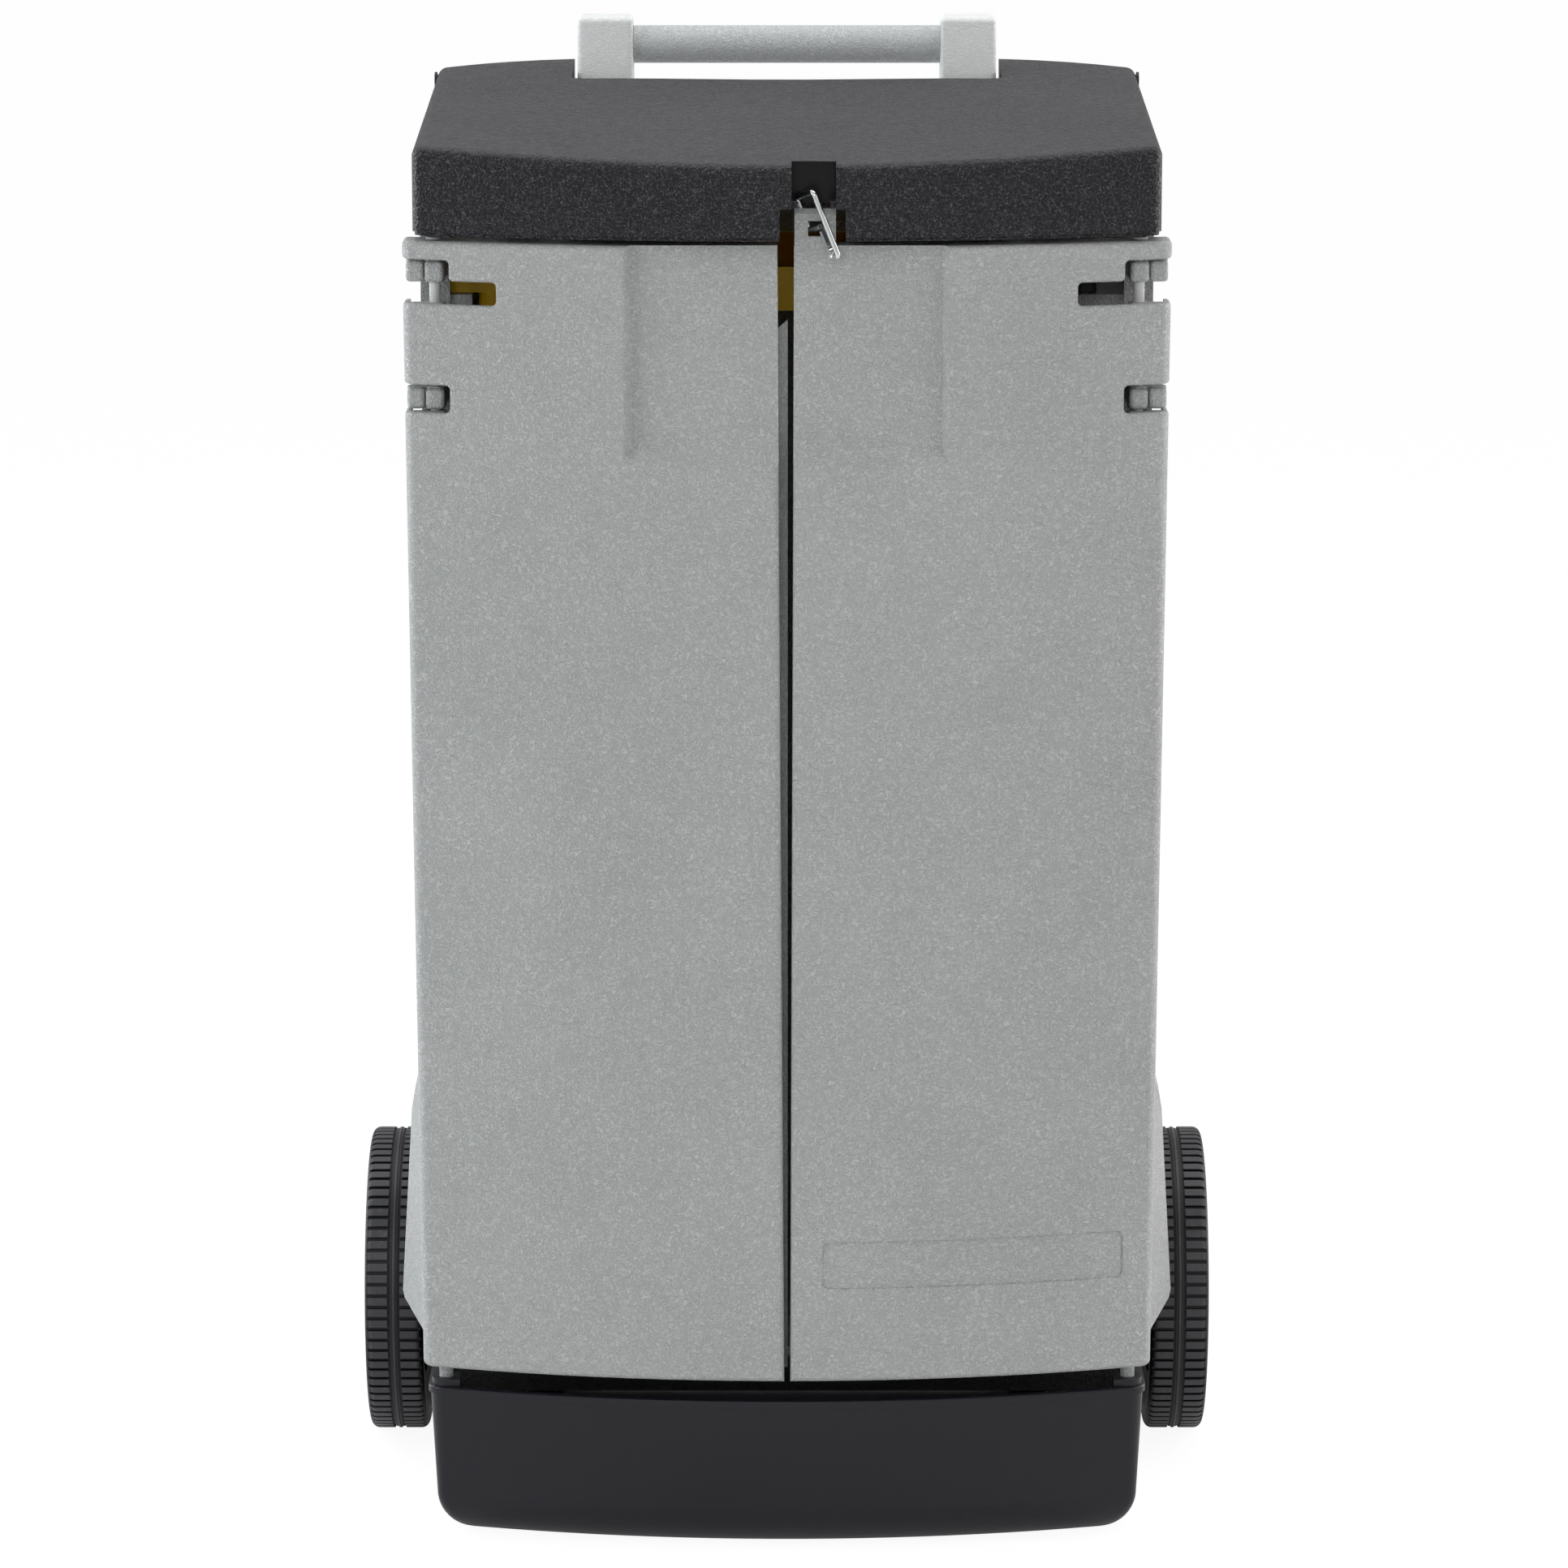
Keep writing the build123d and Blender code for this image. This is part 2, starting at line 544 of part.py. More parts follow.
def door_form(side, free_x):
    """Bowed moulded skin with returns, ribs, hinge knuckles, lug notches and the finger recess."""
    open_back = 3 * DOOR_CORNER
    with BuildPart() as form:
        loft([door_section(side, free_x, z, 0.0, 0.0) for z in (DOOR_BOTTOM_Z, DOOR_TOP_Z)], ruled=True)
        uprights = form.edges().filter_by(lambda e: e.length > DOOR_TOP_Z / 2)
        front_corner = uprights.sort_by(lambda e: side * e.center().X - e.center().Y)[-1]
        fillet(front_corner, radius=DOOR_CORNER)
        solid_form = form.part
        floors = (DOOR_BOTTOM_Z,) + DOOR_RIB_ZS
        roofs = DOOR_RIB_ZS + (DOOR_TOP_Z,)
        for floor_z, roof_z in zip(floors, roofs):
            low_z = floor_z + (DOOR_SKIN if floor_z == DOOR_BOTTOM_Z else DOOR_RIB / 2)
            high_z = roof_z - (DOOR_SKIN if roof_z == DOOR_TOP_Z else DOOR_RIB / 2)
            cell = [door_section(side, free_x, z, DOOR_SKIN, open_back) for z in (low_z, high_z)]
            loft(cell, ruled=True, mode=Mode.SUBTRACT)
        backing_x = RECESS_HALF + 2 * DOOR_SKIN
        backing_y = RECESS_FLOOR_Y + DOOR_SKIN
        free = free_x[1] + side * OVERLAP
        low_x, high_x = sorted((free, side * backing_x))
        backing = bowed_outline(low_x, high_x, backing_y, backing_y, OVERLAP)
        extrude(raised(backing, DOOR_RIB_ZS[-1]), DOOR_TOP_Z - DOOR_RIB_ZS[-1], dir=UP)
        with BuildPart(mode=Mode.PRIVATE) as knuckles:
            for low_z, high_z in (
                (DOOR_BOTTOM_Z, DOOR_BOTTOM_Z + 2 * SOCKET_DEPTH),
                (ROD_BOTTOM_Z - DOOR_SKIN, DOOR_TOP_Z),
            ):
                extrude(raised(knuckle_plan(side), low_z), high_z - low_z, dir=UP)
            add(solid_form, mode=Mode.INTERSECT)
        add(knuckles)
        add(recess_form(), mode=Mode.SUBTRACT)
        extrude(notch_outline(side), BOW_RADIUS, both=True, mode=Mode.SUBTRACT)
        for radius, at_notch in ((NOTCH_EDGE, True), (DOOR_EDGE, False)):
            front = form.faces().sort_by(SortBy.AREA)[-1]
            rim = front.edges().filter_by(lambda e: abs(e.center().X) < HINGE_X)
            chosen = rim.filter_by(lambda e: is_notch_edge(e) == at_notch)
            fillet(chosen, radius=radius)
        with Locations((side * HINGE_X, HINGE_Y, ROD_BOTTOM_Z)):
            Cylinder(ROD_RADIUS + FIT, DOOR_TOP_Z - ROD_BOTTOM_Z, align=STANDING, mode=Mode.SUBTRACT)
        with Locations((side * HINGE_X, HINGE_Y, PEG_BOTTOM_Z)):
            Cylinder(PEG_RADIUS, DOOR_BOTTOM_Z + 2 * SOCKET_DEPTH - PEG_BOTTOM_Z, align=STANDING)
    return form.part


with BuildPart() as left_door:
    add(door_form(-1, LEFT_FREE_X))
    lip_x = LEFT_FREE_X[1] - 2 * DOOR_SKIN
    with BuildSketch(Plane.XZ.offset(-DOOR_FREE_DEPTH_Y)):
        with BuildLine():
            Polyline(
                (lip_x, DOOR_BOTTOM_Z + DOOR_SKIN),
                (LIP_OUT_X, DOOR_BOTTOM_Z + DOOR_SKIN),
                (LIP_OUT_X, LIP_TOP_Z - LIP_OUT_X - LEFT_FREE_X[1]),
                (LEFT_FREE_X[1], LIP_TOP_Z),
                (lip_x, LIP_TOP_Z),
                close=True,
            )
        make_face()
    extrude(amount=LIP_THICK)
write(left_door, "left_door")

with BuildPart() as right_door:
    add(door_form(1, RIGHT_FREE_X))
    with BuildSketch(Plane.XZ.offset(-TONGUE_FRONT_Y)):
        with BuildLine():
            Polyline(
                (TONGUE_X[0], DOOR_TOP_Z - 2 * DOOR_SKIN),
                (TONGUE_X[0], TONGUE_TOP_Z),
                (TONGUE_X[1], TONGUE_TOP_Z),
                (TONGUE_X[1], DOOR_TOP_Z - 2 * DOOR_SKIN),
                close=True,
            )
        make_face()
    extrude(amount=-TONGUE_THICK)
    tongue_top = right_door.edges().group_by(Axis.Z)[-1].sort_by(Axis.Y)[0]
    chamfer(tongue_top, length=TONGUE_CHAMFER)
    with BuildSketch(Plane.XZ.offset(-TONGUE_FRONT_Y + OVERLAP)):
        with Locations(((SLOT_X[0] + SLOT_X[1]) / 2, (SLOT_Z[0] + SLOT_Z[1]) / 2)):
            Rectangle(SLOT_X[1] - SLOT_X[0], SLOT_Z[1] - SLOT_Z[0])
    extrude(amount=-TONGUE_THICK - 2 * OVERLAP, mode=Mode.SUBTRACT)
    with BuildSketch(Plane.XZ.offset(-BOW_APEX_Y + OVERLAP)) as plate:
        with Locations(((PLATE_ENDS[0] + PLATE_ENDS[1]) / 2, PLATE_Z)):
            RectangleRounded(PLATE_ENDS[1] - PLATE_ENDS[0], PLATE_HEIGHT, PLATE_CORNER)
    inner_bow = bowed_outline(0, DOOR_BOTTOM_HALF, CABINET_FRONT_Y, CABINET_FRONT_Y, PLATE_DEPTH)
    with BuildPart(mode=Mode.PRIVATE) as plate_form:
        extrude(plate.sketch, -(DOOR_HINGE_DEPTH_Y - BOW_APEX_Y))
        extrude(inner_bow, DOOR_TOP_Z, dir=UP, mode=Mode.SUBTRACT)
    add(plate_form, mode=Mode.SUBTRACT)
write(right_door, "right_door")

for name, side in SIDES:
    with BuildPart() as hinge_rod:
        with Locations((side * HINGE_X, HINGE_Y, ROD_BOTTOM_Z)):
            Cylinder(ROD_RADIUS, DOOR_TOP_Z + REST_GAP - ROD_BOTTOM_Z, align=STANDING)
        with Locations((side * HINGE_X, HINGE_Y, DOOR_TOP_Z + REST_GAP)):
            Cylinder(ROD_HEAD_RADIUS, ROD_HEAD_THICK, align=STANDING)
        fillet(hinge_rod.edges().group_by(Axis.Z)[-1], radius=ROD_HEAD_THICK / 2)
    write(hinge_rod, f"{name}_hinge_rod")


# ---------------------------------------------------------------- base tub
def tub_outline(inset):
    """Plan of the tub's rim, moved inwards by inset."""
    half = TUB_HALF - inset
    rear = TUB_REAR_Y - inset
    with BuildSketch() as outline:
        add(bowed_outline(-half, half, rear, rear, TUB_INSET + inset))
        rows = outline.vertices().group_by(Axis.Y)
        fillet(rows[-1], radius=TUB_REAR_CORNER - inset)
        front_row = outline.vertices().group_by(Axis.Y)[0]
        fillet(front_row, radius=TUB_FRONT_CORNER - inset)
    return outline.sketch


with BuildPart() as base_tub:
    extrude(raised(tub_outline(0), TUB_RIM_Z), -TUB_RIM_Z, dir=UP, taper=TUB_TAPER)
    fillet(base_tub.edges().group_by(Axis.Z)[0], radius=TUB_BOTTOM_RADIUS)
    solid_tub = base_tub.part
    cavity_depth = TUB_RIM_Z - TUB_WALL
    with BuildPart(mode=Mode.PRIVATE) as tub_cavity:
        extrude(raised(tub_outline(TUB_WALL), TUB_RIM_Z), -cavity_depth, dir=UP, taper=TUB_TAPER)
        fillet(tub_cavity.edges().group_by(Axis.Z)[0], radius=TUB_BOTTOM_RADIUS - TUB_WALL)
    add(tub_cavity, mode=Mode.SUBTRACT)
    with BuildPart(mode=Mode.PRIVATE) as bead:
        extrude(raised(tub_outline(-BEAD_PROUD), TUB_RIM_Z - BEAD_HEIGHT), BEAD_HEIGHT, dir=UP)
        fillet(bead.edges().group_by(Axis.Z)[-1], radius=BEAD_PROUD)
        extrude(raised(tub_outline(TUB_WALL), TUB_RIM_Z - BEAD_HEIGHT), BEAD_HEIGHT, dir=UP, mode=Mode.SUBTRACT)
    add(bead)
    socket_floor_z = SOCKET_TOP_Z - 2 * SOCKET_DEPTH
    with BuildPart(mode=Mode.PRIVATE) as socket_limit:
        add(solid_tub)
        above_rim = raised(tub_outline(OVERLAP), TUB_RIM_Z - OVERLAP)
        extrude(above_rim, SOCKET_TOP_Z - TUB_RIM_Z + OVERLAP, dir=UP)
    with BuildPart(mode=Mode.PRIVATE) as sockets:
        for _, side in SIDES:
            with Locations((side * HINGE_X, HINGE_Y - OVERLAP, socket_floor_z)):
                Box(SOCKET_WIDTH, SOCKET_WIDTH, SOCKET_TOP_Z - socket_floor_z, align=STANDING)
        add(socket_limit, mode=Mode.INTERSECT)
    add(sockets)
    for _, side in SIDES:
        with Locations((side * HINGE_X, HINGE_Y, PEG_BOTTOM_Z - OVERLAP)):
            Cylinder(PEG_RADIUS + FIT, SOCKET_DEPTH, align=STANDING, mode=Mode.SUBTRACT)
    with Locations((0, BOSS_MIDDLE_Y, TUB_WALL - OVERLAP)):
        with GridLocations(2 * BOSS_X, 2 * BOSS_Y, 2, 2):
            Cylinder(BOSS_RADIUS, FLOOR_Z - TUB_WALL + OVERLAP, align=STANDING)
    with Locations((0, BOSS_MIDDLE_Y, 0)):
        with GridLocations(2 * BOSS_X, 2 * BOSS_Y, 2, 2):
            Cylinder(SCREW_HEAD_RADIUS + REST_GAP, SCREW_SEAT_Z, align=STANDING, mode=Mode.SUBTRACT)
            Cylinder(SCREW_RADIUS, FLOOR_Z, align=STANDING, mode=Mode.SUBTRACT)
    with BuildSketch(Plane.YZ):
        with Locations((AXLE_Y, AXLE_Z)):
            Circle(AXLE_RADIUS)
            Rectangle(2 * AXLE_RADIUS, 2 * AXLE_RADIUS, align=(Align.CENTER, Align.MIN))
    extrude(amount=TUB_HALF + TUB_WALL, both=True, mode=Mode.SUBTRACT)
write(base_tub, "base_tub")

with BuildPart() as base_screws:
    with Locations((0, BOSS_MIDDLE_Y, SCREW_SEAT_Z)):
        with GridLocations(2 * BOSS_X, 2 * BOSS_Y, 2, 2):
            Cylinder(SCREW_HEAD_RADIUS, SCREW_HEAD_THICK, align=(Align.CENTER, Align.CENTER, Align.MAX))
            Cylinder(SCREW_RADIUS, FLOOR_Z + CABINET_WALL - SCREW_SEAT_Z, align=STANDING)
write(base_screws, "base_screws")


# ---------------------------------------------------------------- wheels and axle
def across(radius, x_from, x_to, mode=Mode.ADD):
    """Round bar along X through the axle's centre line."""
    with BuildSketch(Plane.YZ.offset(min(x_from, x_to))) as end:
        with Locations((AXLE_Y, AXLE_Z)):
            Circle(radius)
    extrude(end.sketch, abs(x_to - x_from), dir=(1, 0, 0), mode=mode)


with BuildPart() as axle_rod:
    across(AXLE_RADIUS, -AXLE_HALF, AXLE_HALF)
write(axle_rod, "axle_rod")

with BuildPart() as axle_washers:
    for _, side in SIDES:
        inner_x = side * (TUB_HALF + BEAD_PROUD + REST_GAP)
        across(WASHER_RADIUS, inner_x, inner_x + side * WASHER_THICK)
        across(AXLE_RADIUS, inner_x, inner_x + side * WASHER_THICK, mode=Mode.SUBTRACT)
write(axle_washers, "axle_washers")


def wheel_profile():
    """Half section of a wheel about the X axis; x runs outwards from the wheel's middle plane."""
    half = WHEEL_WIDTH / 2
    rim = WHEEL_RADIUS - TREAD_THICK
    inner_hub, outer_hub = HUB_INNER_X - WHEEL_CENTRE_X, HUB_OUTER_X - WHEEL_CENTRE_X
    with BuildSketch() as profile:
        with BuildLine():
            Polyline(
                (-half, rim), (-half, WHEEL_RADIUS), (half, WHEEL_RADIUS), (half, rim),
                (WEB_THICK / 2, rim - half / 4), (WEB_THICK / 2, HUB_RADIUS + half / 8),
                (outer_hub, HUB_RADIUS), (outer_hub, BUSH_RADIUS), (inner_hub, BUSH_RADIUS),
                (inner_hub, HUB_RADIUS), (-WEB_THICK / 2, HUB_RADIUS + half / 8),
                (-WEB_THICK / 2, rim - half / 4), close=True,
            )
        make_face()
        shoulders = profile.vertices().group_by(Axis.Y)[-1]
        fillet(shoulders, radius=WHEEL_SHOULDER)
        for side in (-1, 1):
            with Locations((side * (TREAD_BAND - BAND_GROOVE / 2), WHEEL_RADIUS)):
                Rectangle(BAND_GROOVE, 2 * LUG_GROOVE_DEPTH, mode=Mode.SUBTRACT)
        with Locations((0, WHEEL_RADIUS)):
            Rectangle(2 * (TREAD_BAND - BAND_GROOVE), LUG_GROOVE_DEPTH, mode=Mode.SUBTRACT)
            Rectangle(2 * SEAM_HALF, LUG_GROOVE_DEPTH, align=(Align.CENTER, Align.MAX))
    return profile.sketch


with BuildPart() as wheel_form:
    revolve(wheel_profile(), axis=Axis.X)
    rib_reach = WHEEL_RADIUS - TREAD_THICK / 2
    with BuildSketch(Plane.YZ.offset(-WHEEL_WIDTH / 2 + WHEEL_SHOULDER)):
        with PolarLocations((HUB_RADIUS + rib_reach) / 2, WHEEL_RIBS):
            Rectangle(rib_reach - HUB_RADIUS + 2 * OVERLAP, WHEEL_RIB_THICK)
    extrude(amount=WHEEL_WIDTH - 2 * WHEEL_SHOULDER)
    lug_length = WHEEL_WIDTH / 2 - TREAD_BAND
    with BuildPart(mode=Mode.PRIVATE) as grooves:
        with Locations(Plane.YZ):
            with PolarLocations(WHEEL_RADIUS, LUG_COUNT):
                with Locations((0, 0, TREAD_BAND), (0, 0, -TREAD_BAND - lug_length)):
                    Box(2 * LUG_GROOVE_DEPTH, LUG_GROOVE, lug_length, align=STANDING)
    add(grooves, mode=Mode.SUBTRACT)

for name, side in SIDES:
    turn = Rotation(0, 0, 90 - 90 * side)
    with BuildPart() as wheel:
        add(wheel_form.part.moved(Location((side * WHEEL_CENTRE_X, AXLE_Y, AXLE_Z)) * turn))
    write(wheel, f"{name}_wheel")
    with BuildPart() as wheel_bush:
        across(BUSH_RADIUS, side * HUB_INNER_X, side * HUB_OUTER_X)
        across(AXLE_RADIUS + FIT, side * HUB_INNER_X, side * HUB_OUTER_X, mode=Mode.SUBTRACT)
    write(wheel_bush, f"{name}_wheel_bush")
    with BuildPart() as hub_cap:
        cap_x = side * (HUB_OUTER_X + REST_GAP)
        cap_end_x = side * (AXLE_HALF + OVERLAP)
        across(HUB_CAP_RADIUS, cap_x, cap_end_x)
        with BuildSketch(Plane.YZ.offset(cap_end_x)) as rim:
            with Locations((AXLE_Y, AXLE_Z)):
                Circle(HUB_CAP_RADIUS)
        extrude(rim.sketch, HUB_CAP_DOME, dir=(side, 0, 0), taper=HUB_CAP_TAPER)
        fillet(hub_cap.edges().sort_by(Axis.X)[-1 if side > 0 else 0], radius=HUB_CAP_DOME / 2)
        across(AXLE_RADIUS, cap_x, side * AXLE_HALF, mode=Mode.SUBTRACT)
    write(hub_cap, f"{name}_hub_cap")


# ---------------------------------------------------------------- lid
def lid_outline(inset):
    """Plan of the lid, notched at the back round the handle, moved inwards by inset."""
    half = LID_HALF - inset
    notch_half, notch_y = LID_NOTCH_HALF + inset, LID_NOTCH_Y - inset
    rear = LID_REAR_Y + (0 if inset < LID_WALL else LID_WALL)
    with BuildSketch() as outline:
        add(bowed_outline(-half, half, rear, rear, inset))
        fillet(outline.vertices().group_by(Axis.Y)[0], radius=LID_FRONT_CORNER - inset)
        with Locations((0, notch_y)):
            Rectangle(2 * notch_half, LID_REAR_Y, align=(Align.CENTER, Align.MIN), mode=Mode.SUBTRACT)
        notch_row = outline.vertices().filter_by(lambda v: abs(v.Y - notch_y) < REST_GAP)
        fillet(notch_row, radius=LID_NOTCH_CORNER + inset)
    return outline.sketch


def above_lid(drop):
    """Space above the lid's top, which dips at the middle of its front and falls to the rear corners."""
    rear_y = LID_REAR_Y + LID_WALL
    front = (CREASE_CORNER_Z, CREASE_SHOULDER_Z, CREASE_CENTRE_Z)
    rear = (REAR_CORNER_Z, REAR_SHOULDER_Z, REAR_CENTRE_Z)
    edge_x = LID_HALF + LID_WALL
    with BuildPart() as space:
        for y, (corner_z, shoulder_z, centre_z) in ((BOW_APEX_Y - LID_WALL, front), (rear_y, rear)):
            with BuildSketch(Plane.XZ.offset(-y)):
                with BuildLine():
                    Spline(
                        (-edge_x, corner_z - drop),
                        (-SHOULDER_X, shoulder_z - drop),
                        (0, centre_z - drop),
                        (SHOULDER_X, shoulder_z - drop),
                        (edge_x, corner_z - drop),
                    )
                    Polyline(
                        (edge_x, corner_z - drop),
                        (edge_x, LID_CEILING),
                        (-edge_x, LID_CEILING),
                        (-edge_x, corner_z - drop),
                    )
                make_face()
        loft(ruled=True)
    return space.part


with BuildPart() as lid:
    extrude(raised(lid_outline(0), LID_SKIRT_Z), LID_CEILING - LID_SKIRT_Z - LID_WALL, dir=UP)
    add(above_lid(0), mode=Mode.SUBTRACT)
    rim = [e for e in lid.edges() if e.center().Z > CREASE_CENTRE_Z - LID_WALL]
    front_rim = [e for e in rim if e.bounding_box().max.Y < CABINET_FRONT_Y + LID_WALL]
    side_rim = [e for e in rim if abs(e.center().X) > LID_HALF - OVERLAP and e.length > CABINET_HALF]
    fillet(front_rim + side_rim, radius=LID_TOP_EDGE)
    extrude(raised(lid_outline(LID_LIP_INSET), LID_LIP_Z), LID_SKIRT_Z - LID_LIP_Z, dir=UP)
    with BuildPart(mode=Mode.PRIVATE) as hollow:
        extrude(raised(lid_outline(LID_WALL), LID_LIP_Z), LID_CEILING - LID_LIP_Z - 2 * LID_WALL, dir=UP)
        add(above_lid(LID_WALL), mode=Mode.SUBTRACT)
    add(hollow, mode=Mode.SUBTRACT)
    niche_middle = (NICHE_X[0] + NICHE_X[1]) / 2
    niche_width = NICHE_X[1] - NICHE_X[0]
    with BuildPart(mode=Mode.PRIVATE) as niche:
        with Locations((niche_middle, NICHE_BACK_Y + LID_WALL, SKIRT_NOTCH_TOP_Z)):
            Box(
                niche_width + 2 * LID_WALL, NICHE_BACK_Y + LID_WALL - BOW_APEX_Y - OVERLAP,
                NICHE_TOP_Z + LID_WALL - SKIRT_NOTCH_TOP_Z, align=(Align.CENTER, Align.MAX, Align.MIN),
            )
        add(above_lid(OVERLAP), mode=Mode.SUBTRACT)
    add(niche)
    with BuildSketch(Plane.XZ.offset(-BOW_APEX_Y + OVERLAP)):
        with Locations((niche_middle, NICHE_TOP_Z)):
            Rectangle(niche_width, NICHE_TOP_Z - SKIRT_NOTCH_TOP_Z, align=(Align.CENTER, Align.MAX))
        with Locations(((SKIRT_NOTCH_X[0] + SKIRT_NOTCH_X[1]) / 2, SKIRT_NOTCH_TOP_Z)):
            Rectangle(SKIRT_NOTCH_X[1] - SKIRT_NOTCH_X[0], SKIRT_NOTCH_TOP_Z, align=(Align.CENTER, Align.MAX))
    extrude(amount=-(NICHE_BACK_Y - BOW_APEX_Y + OVERLAP), mode=Mode.SUBTRACT)
    bar_height = NICHE_BAR_Z[1] - NICHE_BAR_Z[0]
    for low_x, high_x in ((NICHE_X[0], NICHE_GAP_X[0]), (NICHE_GAP_X[1], NICHE_X[1])):
        with Locations(((low_x + high_x) / 2, NICHE_BAR_Y, NICHE_BAR_Z[0])):
            Box(
                high_x - low_x + 2 * REST_GAP, NICHE_BAR_Y - BOW_APEX_Y - OVERLAP, bar_height,
                align=(Align.CENTER, Align.MAX, Align.MIN),
            )
    with BuildSketch(Plane.YZ):
        with Locations((LID_AXIS_Y, LID_AXIS_Z)):
            Circle(LID_PIN_RADIUS)
    extrude(amount=LID_HALF + OVERLAP, both=True, mode=Mode.SUBTRACT)
write(lid, "lid")

for name, side in SIDES:
    with BuildPart() as lid_pin:
        for radius, low_x, high_x in (
            (LID_PIN_RADIUS, LID_NOTCH_HALF, LID_HALF),
            (LID_PIN_RADIUS + LID_PIN_HEAD, LID_HALF, LID_HALF + LID_PIN_HEAD),
        ):
            with BuildSketch(Plane.YZ.offset(min(side * low_x, side * high_x))) as pin_end:
                with Locations((LID_AXIS_Y, LID_AXIS_Z)):
                    Circle(radius)
            extrude(pin_end.sketch, high_x - low_x, dir=(1, 0, 0))
    write(lid_pin, f"{name}_lid_pin")


# ---------------------------------------------------------------- pull-out handle
for name, side in SIDES:
    with BuildPart() as handle_post:
        with BuildSketch(Plane.XY.offset(POST_BOTTOM_Z)):
            with Locations((side * POST_X, POST_Y)):
                RectangleRounded(POST_WIDTH, POST_DEPTH, POST_CORNER)
        extrude(amount=POST_TOP_Z - POST_BOTTOM_Z, taper=POST_TAPER)
        fillet(handle_post.edges().group_by(Axis.Z)[-1], radius=POST_CORNER - OVERLAP)
        with Locations((side * POST_X, POST_Y, POST_BOTTOM_Z)):
            Cylinder(TUBE_RADIUS, TUBE_TOP_Z - POST_BOTTOM_Z, align=STANDING, mode=Mode.SUBTRACT)
        with BuildSketch(Plane.YZ.offset(side * (POST_X - POST_WIDTH / 2 - OVERLAP))) as tenon_hole:
            with Locations((POST_Y, GRIP_Z)):
                Circle(GRIP_RADIUS - OVERLAP)
        extrude(tenon_hole.sketch, GRIP_TENON - TUBE_BORE / 2, dir=(side, 0, 0), mode=Mode.SUBTRACT)
    write(handle_post, f"{name}_handle_post")
    with BuildPart() as handle_tube:
        with Locations((side * POST_X, POST_Y, TUBE_BOTTOM_Z)):
            Cylinder(TUBE_RADIUS, TUBE_TOP_Z - TUBE_BOTTOM_Z, align=STANDING)
            Cylinder(TUBE_BORE, TUBE_TOP_Z - TUBE_BOTTOM_Z, align=STANDING, mode=Mode.SUBTRACT)
    write(handle_tube, f"{name}_handle_tube")
    with BuildPart() as tube_plug:
        with Locations((side * POST_X, POST_Y, TUBE_BOTTOM_Z)):
            Cylinder(PLUG_RADIUS, PLUG_HEIGHT, align=(Align.CENTER, Align.CENTER, Align.MAX))
            Cylinder(TUBE_BORE, PLUG_HEIGHT, align=STANDING)
        chamfer(tube_plug.edges().group_by(Axis.Z)[0], length=2 * OVERLAP)
    write(tube_plug, f"{name}_tube_plug")

with BuildPart() as grip_bar:
    grip_half = POST_X - POST_WIDTH / 2 + (POST_TOP_Z - POST_BOTTOM_Z) * sin(radians(POST_TAPER)) - REST_GAP
    with BuildSketch(Plane.YZ) as grip_end:
        with Locations((POST_Y, GRIP_Z)):
            Circle(GRIP_RADIUS)
    extrude(amount=grip_half, both=True)
    with BuildSketch(Plane.YZ):
        with Locations((POST_Y, GRIP_Z)):
            Circle(GRIP_RADIUS - OVERLAP)
    extrude(amount=POST_X - POST_WIDTH / 2 - OVERLAP + GRIP_TENON - TUBE_BORE / 2, both=True)
write(grip_bar, "grip_bar")

guide_rear_y = CHANNEL_FRONT_Y + GUIDE_DEPTH
for name, guide_z in (("upper_handle_guide", UPPER_GUIDE_Z), ("lower_handle_guide", LOWER_GUIDE_Z)):
    with BuildPart() as handle_guide:
        with BuildSketch(Plane.XY.offset(guide_z)):
            with Locations((0, (CHANNEL_FRONT_Y + guide_rear_y) / 2)):
                RectangleRounded(2 * GUIDE_HALF, GUIDE_DEPTH, POST_CORNER)
            with Locations((0, guide_rear_y)):
                Rectangle(2 * (POST_X - POST_WIDTH / 2), GUIDE_DEPTH, mode=Mode.SUBTRACT)
            with Locations((-POST_X, POST_Y), (POST_X, POST_Y)):
                Circle(TUBE_RADIUS + FIT, mode=Mode.SUBTRACT)
        extrude(amount=GUIDE_HEIGHT)
        with Locations((0, CHANNEL_FRONT_Y + GUIDE_DEPTH / 2, guide_z + GUIDE_HEIGHT / 2)):
            with GridLocations(POST_X, 0, 2, 1):
                with Locations(Rotation(90, 0, 0)):
                    Cylinder(SCREW_RADIUS, GUIDE_DEPTH, mode=Mode.SUBTRACT)
    write(handle_guide, name)

with BuildPart() as guide_screws:
    for guide_z in (UPPER_GUIDE_Z, LOWER_GUIDE_Z):
        with BuildSketch(Plane.XZ.offset(-(CHANNEL_FRONT_Y + GUIDE_DEPTH / 2))) as shanks:
            with Locations((0, guide_z + GUIDE_HEIGHT / 2)):
                with GridLocations(POST_X, 0, 2, 1):
                    Circle(SCREW_RADIUS)
        extrude(shanks.sketch, GUIDE_DEPTH / 2 + CABINET_WALL)
        with BuildSketch(Plane.XZ.offset(-(CHANNEL_FRONT_Y + GUIDE_DEPTH / 2))) as heads:
            with Locations((0, guide_z + GUIDE_HEIGHT / 2)):
                with GridLocations(POST_X, 0, 2, 1):
                    Circle(SCREW_HEAD_RADIUS)
        extrude(heads.sketch, -SCREW_HEAD_THICK)
write(guide_screws, "guide_screws")


